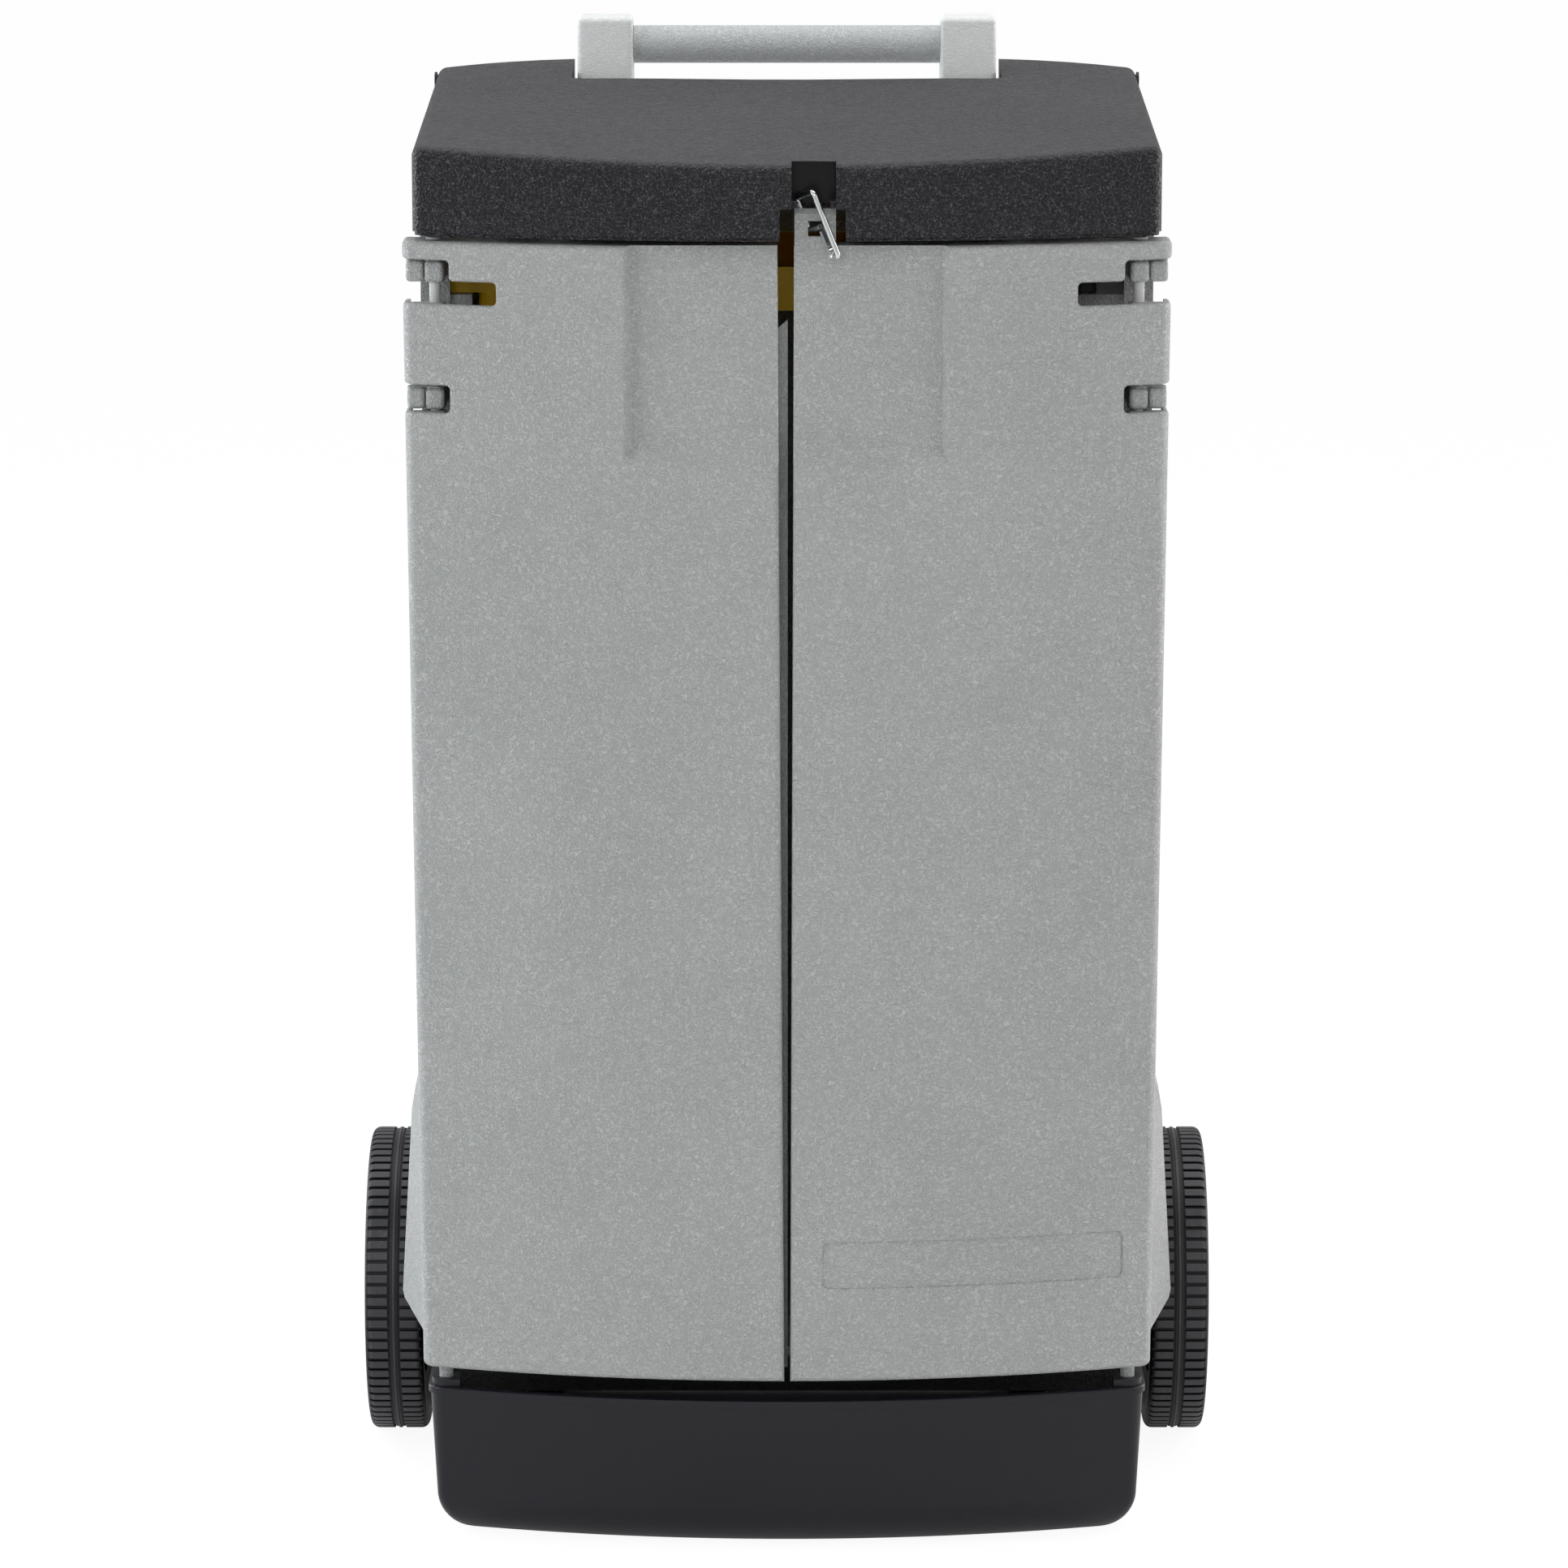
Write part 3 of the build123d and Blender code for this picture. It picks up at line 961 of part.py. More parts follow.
# ---------------------------------------------------------------- tray and bin
def tray_plan(x_from, x_to, inset):
    """Rounded plan of one step of a tray, moved inwards by inset."""
    with BuildSketch() as plan:
        with Locations(((x_from + x_to) / 2, (TRAY_FRONT_Y + TRAY_REAR_Y) / 2)):
            RectangleRounded(
                x_to - x_from - 2 * inset, TRAY_REAR_Y - TRAY_FRONT_Y - 2 * inset, TRAY_CORNER - inset
            )
    return plan.sketch


with BuildPart() as tray:
    step_z = LEDGE_TOP_Z + REST_GAP
    for inset, lift, mode in ((0.0, 0.0, Mode.ADD), (TRAY_WALL, TRAY_WALL, Mode.SUBTRACT)):
        lower = raised(tray_plan(TRAY_LOWER_X, TRAY_X[1], inset), TRAY_BOTTOM_Z + lift)
        upper = raised(tray_plan(TRAY_X[0], TRAY_X[1], inset), step_z + lift)
        extrude(lower, TRAY_TOP_Z - TRAY_BOTTOM_Z - lift, dir=UP, mode=mode)
        extrude(upper, TRAY_TOP_Z - step_z - lift, dir=UP, mode=mode)
    with BuildSketch(Plane.XY.offset(TRAY_BOTTOM_Z)):
        for divider_x in TRAY_DIVIDER_XS:
            with Locations((divider_x, (TRAY_FRONT_Y + TRAY_REAR_Y) / 2)):
                Rectangle(TRAY_WALL, TRAY_REAR_Y - TRAY_FRONT_Y - TRAY_WALL)
    extrude(amount=TRAY_TOP_Z - TRAY_BOTTOM_Z - TRAY_WALL)
write(tray, "tray")

with BuildPart() as side_bin:
    bin_middle_x, bin_middle_y = (BIN_X[0] + BIN_X[1]) / 2, (TRAY_FRONT_Y + TRAY_REAR_Y) / 2
    bin_length, bin_depth = BIN_X[1] - BIN_X[0], TRAY_REAR_Y - TRAY_FRONT_Y
    with BuildSketch(Plane.XY.offset(LEDGE_TOP_Z + REST_GAP)):
        with Locations((bin_middle_x, bin_middle_y)):
            RectangleRounded(bin_length, bin_depth, BIN_CORNER)
            rib_count = round((bin_length - 2 * BIN_CORNER) / BIN_RIB_PITCH)
            with GridLocations(BIN_RIB_PITCH, bin_depth, rib_count, 2):
                Rectangle(BIN_RIB_PITCH / 2, 2 * BIN_RIB_PROUD)
    extrude(amount=BIN_TOP_Z - LEDGE_TOP_Z - REST_GAP)
    with BuildSketch(Plane.XY.offset(LEDGE_TOP_Z + REST_GAP + BIN_WALL)):
        with Locations((bin_middle_x, bin_middle_y)):
            RectangleRounded(bin_length - 2 * BIN_WALL, bin_depth - 2 * BIN_WALL, BIN_CORNER - BIN_WALL)
    extrude(amount=BIN_TOP_Z, mode=Mode.SUBTRACT)
write(side_bin, "side_bin")


# ---------------------------------------------------------------- snap hook
# The loop's plane passes through the slot.  In it x runs forwards along the nose and y runs up.
slot_middle = ((SLOT_X[0] + SLOT_X[1]) / 2, TONGUE_FRONT_Y + TONGUE_THICK / 2, (SLOT_Z[0] + SLOT_Z[1]) / 2)
upwards = Vector(-sin(radians(HOOK_LEAN)), sin(radians(HOOK_TIP)), cos(radians(HOOK_LEAN))).normalized()
turned = Vector(sin(radians(HOOK_TURN)), -cos(radians(HOOK_TURN)), 0)
forwards = (turned - upwards * turned.dot(upwards)).normalized()
hook_plane = Plane(origin=slot_middle, x_dir=forwards, z_dir=forwards.cross(upwards))

with BuildPart() as hook_wire:
    with BuildLine(hook_plane) as wire_path:
        FilletPolyline(
            (HOOK_NOSE, 0), (HOOK_BACK, 0), (HOOK_BACK, HOOK_TOP), (HOOK_FRONT, HOOK_TOP),
            (HOOK_FRONT, HOOK_BOTTOM), (GATE_X, HOOK_BOTTOM), (GATE_X, GATE_FOOT),
            radius=HOOK_BEND,
        )
    with BuildSketch(Plane(origin=wire_path.line @ 0, z_dir=wire_path.line % 0)):
        Circle(WIRE_RADIUS)
    sweep()
    with BuildSketch(hook_plane):
        with Locations((GATE_X, GATE_FOOT + WIRE_RADIUS / 2)):
            RectangleRounded(2 * WIRE_RADIUS, 3 * WIRE_RADIUS, WIRE_RADIUS - REST_GAP)
    extrude(amount=WIRE_RADIUS, both=True)
    with BuildSketch(hook_plane):
        with Locations((GATE_X, GATE_FOOT + WIRE_RADIUS)):
            Rectangle(3 * WIRE_RADIUS, 3 * WIRE_RADIUS)
    extrude(amount=GATE_RADIUS + 2 * FIT, both=True, mode=Mode.SUBTRACT)
    with BuildSketch(hook_plane):
        with Locations((GATE_X, GATE_FOOT + WIRE_RADIUS)):
            Circle(RIVET_RADIUS)
    extrude(amount=WIRE_RADIUS, both=True, mode=Mode.SUBTRACT)
write(hook_wire, "hook_wire")

with BuildPart() as hook_gate:
    with BuildSketch(hook_plane):
        with Locations((GATE_X, GATE_FOOT + WIRE_RADIUS)):
            Circle(WIRE_RADIUS - REST_GAP / 2)
        with Locations((GATE_X, (GATE_FOOT + WIRE_RADIUS + GATE_HEAD) / 2)):
            Rectangle(2 * GATE_RADIUS, GATE_HEAD - GATE_FOOT - WIRE_RADIUS)
        with Locations((GATE_X, GATE_FOOT + WIRE_RADIUS)):
            Circle(RIVET_RADIUS + FIT, mode=Mode.SUBTRACT)
    extrude(amount=GATE_RADIUS, both=True)
write(hook_gate, "hook_gate")

with BuildPart() as gate_rivet:
    with BuildSketch(hook_plane):
        with Locations((GATE_X, GATE_FOOT + WIRE_RADIUS)):
            Circle(RIVET_RADIUS)
    extrude(amount=WIRE_RADIUS, both=True)
write(gate_rivet, "gate_rivet")
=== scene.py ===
# %% [markdown]
# # A wheeled tool cabinet
# This lesson dresses a moulded plastic tool cabinet.  The solid pieces come ready made as the fixed
# frame: a cabinet with two bowed doors, a lid, a base tub, wheels, a pull-out handle, a tray and a
# bin.  Blender could model them again, but they already move and fit, so it only gives them their
# looks, which are grained and satin plastics and plated steel, and closes the backs of two flares.

# %% The frame
from math import radians

import bmesh
import bpy
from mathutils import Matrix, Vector


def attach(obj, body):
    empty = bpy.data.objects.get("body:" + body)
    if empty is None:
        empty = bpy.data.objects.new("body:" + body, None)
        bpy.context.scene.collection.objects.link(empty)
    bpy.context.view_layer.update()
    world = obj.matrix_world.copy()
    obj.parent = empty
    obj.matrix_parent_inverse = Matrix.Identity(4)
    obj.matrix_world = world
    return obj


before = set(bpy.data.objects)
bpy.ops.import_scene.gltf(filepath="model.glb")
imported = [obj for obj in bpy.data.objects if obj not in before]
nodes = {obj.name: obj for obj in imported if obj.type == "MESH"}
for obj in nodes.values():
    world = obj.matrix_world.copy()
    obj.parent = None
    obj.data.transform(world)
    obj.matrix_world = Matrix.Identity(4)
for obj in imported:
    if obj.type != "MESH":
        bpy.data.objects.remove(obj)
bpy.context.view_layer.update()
mm = 0.001

# %% [markdown]
# ## The camera
# A long lens stands well back and a little above the object, so that the doors' edges stay nearly
# parallel and a strip of the lid's top shows.  A short lens close by could frame the same box, but it
# would make the lid look far bigger than the base.

# %% Camera
SENSOR_WIDTH = 36
LENS = 149.4
CAMERA_PLACE = (-0.0016, -3.643, 1.150)
CAMERA_TILT = 78.426  # degrees from straight down
scene = bpy.context.scene
camera_data = bpy.data.cameras.new("camera")
camera_data.sensor_width = SENSOR_WIDTH
camera_data.lens = LENS
camera = bpy.data.objects.new("camera", camera_data)
camera.location = CAMERA_PLACE
camera.rotation_euler = (radians(CAMERA_TILT), 0, 0)
scene.collection.objects.link(camera)
scene.camera = camera
scene.view_settings.view_transform = "Standard"
print("camera", tuple(round(v, 3) for v in camera.location), "lens", camera_data.lens)

# %% [markdown]
# ## Writing a material as an expression
# A procedural material is arithmetic: a mask times a height, a colour plus a little noise.  Drawn as
# boxes and wires it is hard to read, so a small class wraps one output socket, and adding or
# multiplying two of them adds the Math node.

# %% Shader sockets as numbers
class Field:
    """One output of a node, which Python's operators work on."""

    def __init__(self, maker, socket):
        self.maker = maker
        self.socket = socket

    def _math(self, operation, first, second):
        return self.maker.node("ShaderNodeMath", {"operation": operation}, {0: first, 1: second})

    def __add__(self, other):
        return self._math("ADD", self, other)

    def __radd__(self, other):
        return self._math("ADD", other, self)

    def __sub__(self, other):
        return self._math("SUBTRACT", self, other)

    def __rsub__(self, other):
        return self._math("SUBTRACT", other, self)

    def __mul__(self, other):
        return self._math("MULTIPLY", self, other)

    def __rmul__(self, other):
        return self._math("MULTIPLY", other, self)

    def __truediv__(self, other):
        return self._math("DIVIDE", self, other)

    def __pow__(self, other):
        return self._math("POWER", self, other)


SIGNS = ("add", "sub", "mul", "truediv", "pow")
print("a Field takes:", [sign for sign in SIGNS if hasattr(Field, f"__{sign}__")])

# %% [markdown]
# ## A finish under construction
# Every plastic and metal here is a Principled shader fed by a few textures.  The tree could be built
# node by node in each recipe, but the same five steps come back each time: place a texture, shape it
# with a ramp, mix two colours, read an axis, raise a bump.  One class holds those steps, so that a
# recipe says only what is special about its finish.

# %% The finish builder
COLOUR_A = 6                       # the Mix node numbers its sockets, and these three carry colours
COLOUR_B = 7
COLOUR_RESULT = 2


class Finish:
    """A material under construction: a Principled shader and whatever feeds it."""

    def __init__(self, name, **uniform):
        self.material = bpy.data.materials.new(name)
        self.material.use_nodes = True
        self.tree = self.material.node_tree
        self.shader = self.tree.nodes["Principled BSDF"]
        for socket, value in uniform.items():
            self.shader.inputs[socket.replace("_", " ")].default_value = value
        self.place = self.node("ShaderNodeTexCoord", {}, {}, "Object")

    def node(self, kind, settings, values, output=0):
        made = self.tree.nodes.new(kind)
        for key, value in settings.items():
            if key == "stops":
                self._stops(made.color_ramp, value)
            else:
                setattr(made, key, value)
        for key, value in values.items():
            if isinstance(value, Field):
                self.tree.links.new(value.socket, made.inputs[key])
            else:
                made.inputs[key].default_value = value
        return Field(self, made.outputs[output])

    @staticmethod
    def _stops(ramp, stops):
        while len(ramp.elements) < len(stops):
            ramp.elements.new(0.5)
        for element, (position, grey) in zip(ramp.elements, stops):
            element.position = position
            element.color = (grey, grey, grey, 1)

    def noise(self, scale, detail=2.0, rough=0.5, distortion=0.0, where=None):
        values = {"Vector": where or self.place, "Scale": scale, "Detail": detail,
                  "Roughness": rough, "Distortion": distortion}
        return self.node("ShaderNodeTexNoise", {}, values)

    def cells(self, scale):
        values = {"Vector": self.place, "Scale": scale}
        return self.node("ShaderNodeTexVoronoi", {}, values, "Distance")

    def ramp(self, value, stops):
        return self.node("ShaderNodeValToRGB", {"stops": stops}, {0: value})

    def stretched(self, scales):
        return self.node("ShaderNodeMapping", {}, {0: self.place, "Scale": scales})

    def within(self, letter, low, high):
        """One between two places along an axis, and nought outside them."""
        share = (self.axis(letter) - low) / (high - low)
        return self.ramp(share, [(0.0, 0.0), (0.02, 1.0), (0.98, 1.0), (1.0, 0.0)])

    def blend(self, factor, first, second):
        values = {"Factor": factor, COLOUR_A: first, COLOUR_B: second}
        return self.node("ShaderNodeMix", {"data_type": "RGBA"}, values, COLOUR_RESULT)

    def axis(self, letter):
        return self.node("ShaderNodeSeparateXYZ", {}, {0: self.place}, "XYZ".index(letter))

    def facing(self, letter):
        geometry = self.node("ShaderNodeNewGeometry", {}, {}, "Normal")
        return self.node("ShaderNodeSeparateXYZ", {}, {0: geometry}, "XYZ".index(letter))

    def feed(self, socket, field):
        self.tree.links.new(field.socket, self.shader.inputs[socket])

    def bump(self, height, distance):
        values = {"Height": height, "Distance": distance, "Strength": 1.0}
        self.feed("Normal", self.node("ShaderNodeBump", {}, values))


print("a Finish can:", [name for name in vars(Finish) if not name.startswith("_")])

# %% [markdown]
# ## Grained plastic
# The doors, the cabinet and the handle are moulded in a tool that was etched with a leather grain:
# short raised wrinkles, under two millimetres apart, with valleys between them.  Real wrinkles would
# take millions of faces, so bump carries them.  A bent noise gives the wrinkles, a finer one breaks
# them up, and a ramp sharpens their sides.  The ridges are smoother than the valleys, and they are
# painted lighter as well: a painted highlight along the grain.
# Between the doors and the tub the real gap lies in deep shade, so that shade is painted on the
# cabinet's skirt: below a given height its colour is nearly black.  The mask follows height alone,
# so that band of painted shade goes all the way round.

# %% Light grey grained plastic
# the near black of the painted shade in the gap under the doors
PAINTED_GAP_SHADE = (0.004, 0.004, 0.005, 1)


def grained_plastic(name, light, shade, grain, height, rough, painted_shade_below=0.0):
    finish = Finish(name, IOR=1.48)
    wrinkle = finish.noise(grain, 2.0, 0.5, 1.6)
    fine = finish.noise(grain * 2.6, 2.0, 0.5, 0.4)
    ridges = finish.ramp(wrinkle * 0.82 + fine * 0.18, [(0.40, 0.0), (0.50, 0.55), (0.62, 1.0)])
    cloud = finish.noise(9.0, 3.0, 0.6)
    mottle = finish.noise(170.0, 3.0, 0.6)
    tone = finish.ramp(cloud * 0.75 + mottle * 0.25, [(0.36, 0.0), (0.64, 1.0)])
    # the ridges' share moves the colour towards the light one: a painted highlight along the grain
    colour = finish.blend(0.20 + tone * 0.16 + ridges * 0.44, shade, light)
    # below the given height the colour turns near black: painted shade for the gap under the doors
    if painted_shade_below:
        under = finish.ramp(finish.axis("Z") / painted_shade_below, [(0.955, 0.96), (0.985, 0.0)])
        colour = finish.blend(under, colour, PAINTED_GAP_SHADE)
    finish.feed("Base Color", colour)
    finish.feed("Roughness", rough + 0.16 * (1 - ridges) + 0.05 * tone)
    finish.bump(ridges + 0.06 * mottle, height)
    return finish.material


BODY_LIGHT = (0.54, 0.55, 0.545, 1)
BODY_SHADE = (0.315, 0.327, 0.327, 1)
# top of the band of painted shade on the cabinet's skirt and the flare backs
PAINTED_SHADE_TOP_Z = 100 * mm
door_grey = grained_plastic("door_grey", BODY_LIGHT, BODY_SHADE, 600.0, 0.0005, 0.32)
shell_grey_painted_shade = grained_plastic("shell_grey_painted_shade", BODY_LIGHT, BODY_SHADE, 600.0, 0.0005, 0.32, PAINTED_SHADE_TOP_Z)
handle_grey = grained_plastic(
    "handle_grey", (0.83, 0.845, 0.84, 1), (0.73, 0.75, 0.75, 1), 620.0, 0.0002, 0.36
)
grip_grey = grained_plastic(
    "grip_grey", (0.60, 0.62, 0.63, 1), (0.50, 0.52, 0.53, 1), 560.0, 0.0004, 0.34
)
pin_grey = grained_plastic(
    "pin_grey", (0.56, 0.57, 0.565, 1), (0.50, 0.51, 0.51, 1), 300.0, 0.00008, 0.28
)
grained_greys = [door_grey, shell_grey_painted_shade, handle_grey, grip_grey, pin_grey]
print("grained:", [grey.name for grey in grained_greys])

# %% [markdown]
# ## The lid's pebble grain
# The lid is moulded in black with a coarser pebble grain.  Cells give round pebbles, and noise varies
# their size.  Glints are painted into the colour as painted highlights: thin and bent, they lie where
# a smooth noise crosses its middle value, and a second noise cuts them short.  Faces that look up are
# painted greyer than the sides, a painted sheen for the light from above with streaks and patches in
# it, and roughness also follows how far a face looks up.  The hasp's niche was polished in the tool,
# so three masks keep the grain out of it: one along each axis.  Nothing closes them at the back, so
# the wall by the handle has a smooth square too.

# %% Black pebbled plastic
NICHE_X = (2.2 * mm, 26.5 * mm)
NICHE_Z = (752.8 * mm, 777.2 * mm)
NICHE_FRONT_Y = -166.5 * mm


def pebbled_plastic(name, black, painted_top_sheen, grain):
    finish = Finish(name, IOR=1.39)
    behind_front = finish.ramp((finish.axis("Y") - NICHE_FRONT_Y) / mm, [(0.0, 0.0), (1.0, 1.0)])
    niche = finish.within("X", *NICHE_X) * finish.within("Z", *NICHE_Z) * behind_front
    grained = 1 - niche
    warp = finish.noise(grain * 0.5, 2.0, 0.5)
    pebbles = 1 - finish.cells(grain) * 1.25 + 0.25 * warp
    dimples = finish.ramp(pebbles, [(0.30, 0.0), (0.62, 0.8), (0.95, 1.0)])
    up = finish.ramp(finish.facing("Z"), [(0.55, 0.0), (0.97, 1.0)])
    speckle = finish.noise(grain * 1.5, 3.0, 0.7, 1.0)
    worm = finish.noise(grain * 0.95, 1.0, 0.5, 0.6) - 0.5
    lines = finish.ramp(worm * worm * 60, [(0.0, 1.0), (0.24, 0.0)])
    # painted glints: thin bent lines lightened in the colour, a painted highlight
    painted_glint = grained * lines * finish.ramp(speckle, [(0.47, 0.1), (0.62, 1.0)])
    brushed_place = finish.stretched((0.6, 1.0, 1.0))
    brushed = finish.noise(300.0, 3.0, 0.7, 0.2, brushed_place)
    streaks = finish.ramp(brushed, [(0.36, 0.0), (0.64, 1.0)])
    sheen_patches = finish.noise(5.0, 3.0, 0.6)
    # faces that look up are painted greyer than the sides: a painted sheen for light from above
    dust_and_sheen = up * (0.55 + 0.38 * streaks) * (0.30 + 0.65 * speckle + 0.50 * sheen_patches)
    ground = finish.blend(dust_and_sheen, black, painted_top_sheen)
    painted_glint_share = painted_glint * (0.66 - 0.36 * up)
    # the lighter colour mixed in here is the painted glint, a painted highlight
    finish.feed("Base Color", finish.blend(painted_glint_share, ground, (0.145, 0.145, 0.165, 1)))
    finish.feed("Roughness", 0.24 + 0.30 * up + 0.22 * grained * (1 - painted_glint))
    finish.bump(grained * (dimples + 0.3 * speckle), 0.0007)
    return finish.material


lid_black = pebbled_plastic("lid_black", (0.002, 0.002, 0.004, 1), (0.084, 0.083, 0.088, 1), 520.0)
print("pebbled:", lid_black.name)

# %% [markdown]
# ## Satin black plastic
# The tub, the bin, the handle's guides and some small pins, plugs and bushes are smoother.  A
# polished mould leaves a soft sheen with slow waves in it, which a low noise in the bump gives.
# Scuffs and dust dull it in patches, and on the tub the dust thickens towards the ground.  A plain
# colour could do, but it would look cut out.

# %% Satin plastics
def satin_plastic(name, colour, dusty, rough, wave, low_z=None):
    finish = Finish(name, IOR=1.41)
    cloud = finish.noise(14.0, 4.0, 0.6)
    fine = finish.noise(900.0, 2.0, 0.6)
    scuffs = finish.ramp(finish.noise(55.0, 6.0, 0.75, 0.8), [(0.60, 0.0), (0.74, 1.0)])
    dust_and_sheen = 0.35 * cloud + 0.4 * scuffs
    if low_z:
        height = finish.ramp(finish.axis("Z") / low_z, [(0.0, 1.0), (1.0, 0.0)])
        dust_and_sheen = dust_and_sheen + 0.5 * height * cloud
    finish.feed("Base Color", finish.blend(dust_and_sheen, colour, dusty))
    finish.feed("Roughness", rough + 0.10 * cloud + 0.12 * scuffs + 0.04 * fine)
    finish.bump(cloud * wave + 0.02 * fine + 0.03 * scuffs, 0.0012)
    return finish.material


tub_black = satin_plastic(
    "tub_black", (0.0035, 0.0035, 0.0075, 1), (0.012, 0.012, 0.017, 1), 0.27, 0.6, 0.06
)
guide_black = satin_plastic(
    "guide_black", (0.017, 0.017, 0.018, 1), (0.034, 0.034, 0.035, 1), 0.44, 0.2
)
bin_grey = satin_plastic(
    "bin_grey", (0.045, 0.047, 0.052, 1), (0.075, 0.076, 0.080, 1), 0.46, 0.2
)
print("satin:", tub_black.name, guide_black.name, bin_grey.name)

# %% [markdown]
# ## Tread rubber
# On a moulded wheel the lugs that touch the ground are painted a lighter grey, and the grooves between
# them near black.  The grey is partly rubbed wear and partly a painted highlight, and the black in
# the grooves is painted shade.  A painted map would need the wheel unwrapped.  The distance from the
# axle tells the two apart as well: the finish works out that radius from the place of each point and
# lightens only about the last millimetre.

# %% Wheel rubber
AXLE_Y = 81 * mm
AXLE_Z = 89 * mm
WHEEL_RADIUS = 89 * mm
LUG_LIGHTENED_DEPTH = 1.3 * mm


def tread_rubber():
    finish = Finish("wheel_black", IOR=1.40)
    across = finish.axis("Y") - AXLE_Y
    upward = finish.axis("Z") - AXLE_Z
    radius = (across * across + upward * upward) ** 0.5
    reach = (radius - (WHEEL_RADIUS - LUG_LIGHTENED_DEPTH)) / LUG_LIGHTENED_DEPTH
    # the lugs' outer band is painted lighter: partly wear, partly a painted highlight
    worn = finish.ramp(reach, [(0.25, 0.0), (0.85, 1.0)])
    cloud = finish.noise(60.0, 4.0, 0.6)
    grit = finish.noise(900.0, 3.0, 0.7)
    scuffs = finish.ramp(finish.noise(130.0, 6.0, 0.75, 0.8), [(0.55, 0.0), (0.70, 1.0)])
    rubbed_and_painted_lit = worn * (0.45 + 0.4 * cloud + 0.35 * scuffs)
    # near black in the grooves is painted shade; the lugs' grey is wear and a painted highlight
    painted_groove_shade = (0.0025, 0.0025, 0.0035, 1)
    sheen = (0.072, 0.072, 0.079, 1)
    finish.feed("Base Color", finish.blend(rubbed_and_painted_lit, painted_groove_shade, sheen))
    finish.feed("Roughness", 0.44 - 0.12 * worn + 0.12 * grit)
    finish.bump(grit + 0.6 * scuffs, 0.00012)
    return finish.material


wheel_black = tread_rubber()
print("rubber:", wheel_black.name)

# %% [markdown]
# ## Tray yellow
# The tray is a warm yellow polypropylene.  That plastic is a little see-through, so light creeps
# under its skin.  A brighter colour alone would look painted; a small subsurface weight gives the
# glow, and fine scratches along one axis dull the surface.

# %% Yellow plastic
def tray_plastic():
    finish = Finish("tray_yellow", IOR=1.49, Subsurface_Weight=0.12, Subsurface_Scale=0.004)
    cloud = finish.noise(20.0, 4.0, 0.6)
    scratches_place = finish.stretched((0.15, 1.0, 1.0))
    scratched = finish.noise(380.0, 5.0, 0.8, 0.3, scratches_place)
    scratches = finish.ramp(scratched, [(0.58, 0.0), (0.70, 1.0)])
    worn = cloud * 0.6 + scratches * 0.3
    fresh = (1.0, 0.62, 0.012, 1)
    faded = (0.86, 0.47, 0.010, 1)
    finish.feed("Base Color", finish.blend(worn, fresh, faded))
    finish.feed("Roughness", 0.30 + 0.12 * cloud + 0.15 * scratches)
    finish.bump(cloud + 0.1 * scratches, 0.0004)
    return finish.material


tray_yellow = tray_plastic()
print("tray:", tray_yellow.name)

# %% [markdown]
# ## Plated steel
# The snap hook, the axle and its washers are steel wire, rod and sheet with a zinc plate.  Plating
# is not a mirror: it has a faint milky variation and fine drawing lines, which roughness carries.
# The handle's tubes are duller drawn steel, and the screws have the same steel under a black
# passivate, so one recipe makes all three from two colours and a roughness.

# %% Steel finishes
def plated_steel(name, bright, dull, rough):
    finish = Finish(name, Metallic=1.0)
    milk = finish.noise(160.0, 4.0, 0.6)
    lines_place = finish.stretched((1.0, 1.0, 0.06))
    lines = finish.noise(2400.0, 3.0, 0.6, 0.0, lines_place)
    spots = finish.ramp(finish.noise(700.0, 5.0, 0.8), [(0.62, 0.0), (0.72, 1.0)])
    finish.feed("Base Color", finish.blend(milk * 0.6 + spots * 0.4, bright, dull))
    finish.feed("Roughness", rough + 0.10 * milk + 0.05 * lines + 0.15 * spots)
    finish.bump(milk + 0.2 * spots, 0.00003)
    return finish.material


zinc = plated_steel("zinc_plate", (0.74, 0.76, 0.77, 1), (0.52, 0.54, 0.55, 1), 0.16)
tube_steel = plated_steel("tube_steel", (0.62, 0.62, 0.63, 1), (0.44, 0.44, 0.45, 1), 0.24)
black_zinc = plated_steel("black_zinc", (0.075, 0.075, 0.08, 1), (0.04, 0.04, 0.043, 1), 0.34)
print("steel:", zinc.name, tube_steel.name, black_zinc.name)

# %% [markdown]
# ## Dressing the solids
# Each node of the frame takes one finish.  The pieces could be dressed one by one, but a table from
# finish to pieces shows at a glance what the real ones share, and what it leaves out can be printed.

# %% Finishes on the solids
FINISH_OF = {
    door_grey: ["left_door", "right_door"],
    shell_grey_painted_shade: ["cabinet_shell"],
    handle_grey: ["left_handle_post", "right_handle_post"],
    grip_grey: ["grip_bar"],
    lid_black: ["lid"],
    tub_black: ["base_tub"],
    wheel_black: ["left_wheel", "right_wheel", "left_hub_cap", "right_hub_cap"],
    guide_black: [
        "left_lid_pin", "right_lid_pin", "upper_handle_guide", "lower_handle_guide",
        "left_tube_plug", "right_tube_plug", "left_wheel_bush", "right_wheel_bush",
    ],
    bin_grey: ["side_bin"],
    tray_yellow: ["tray"],
    zinc: ["hook_wire", "hook_gate", "gate_rivet", "axle_rod", "axle_washers"],
    pin_grey: ["left_hinge_rod", "right_hinge_rod"],
    tube_steel: ["left_handle_tube", "right_handle_tube"],
    black_zinc: ["base_screws", "guide_screws"],
}
for finish, names in FINISH_OF.items():
    for name in names:
        nodes[name].data.materials.clear()
        nodes[name].data.materials.append(finish)
bare = sorted(set(nodes) - {name for names in FINISH_OF.values() for name in names})
print("nodes left bare:", bare)

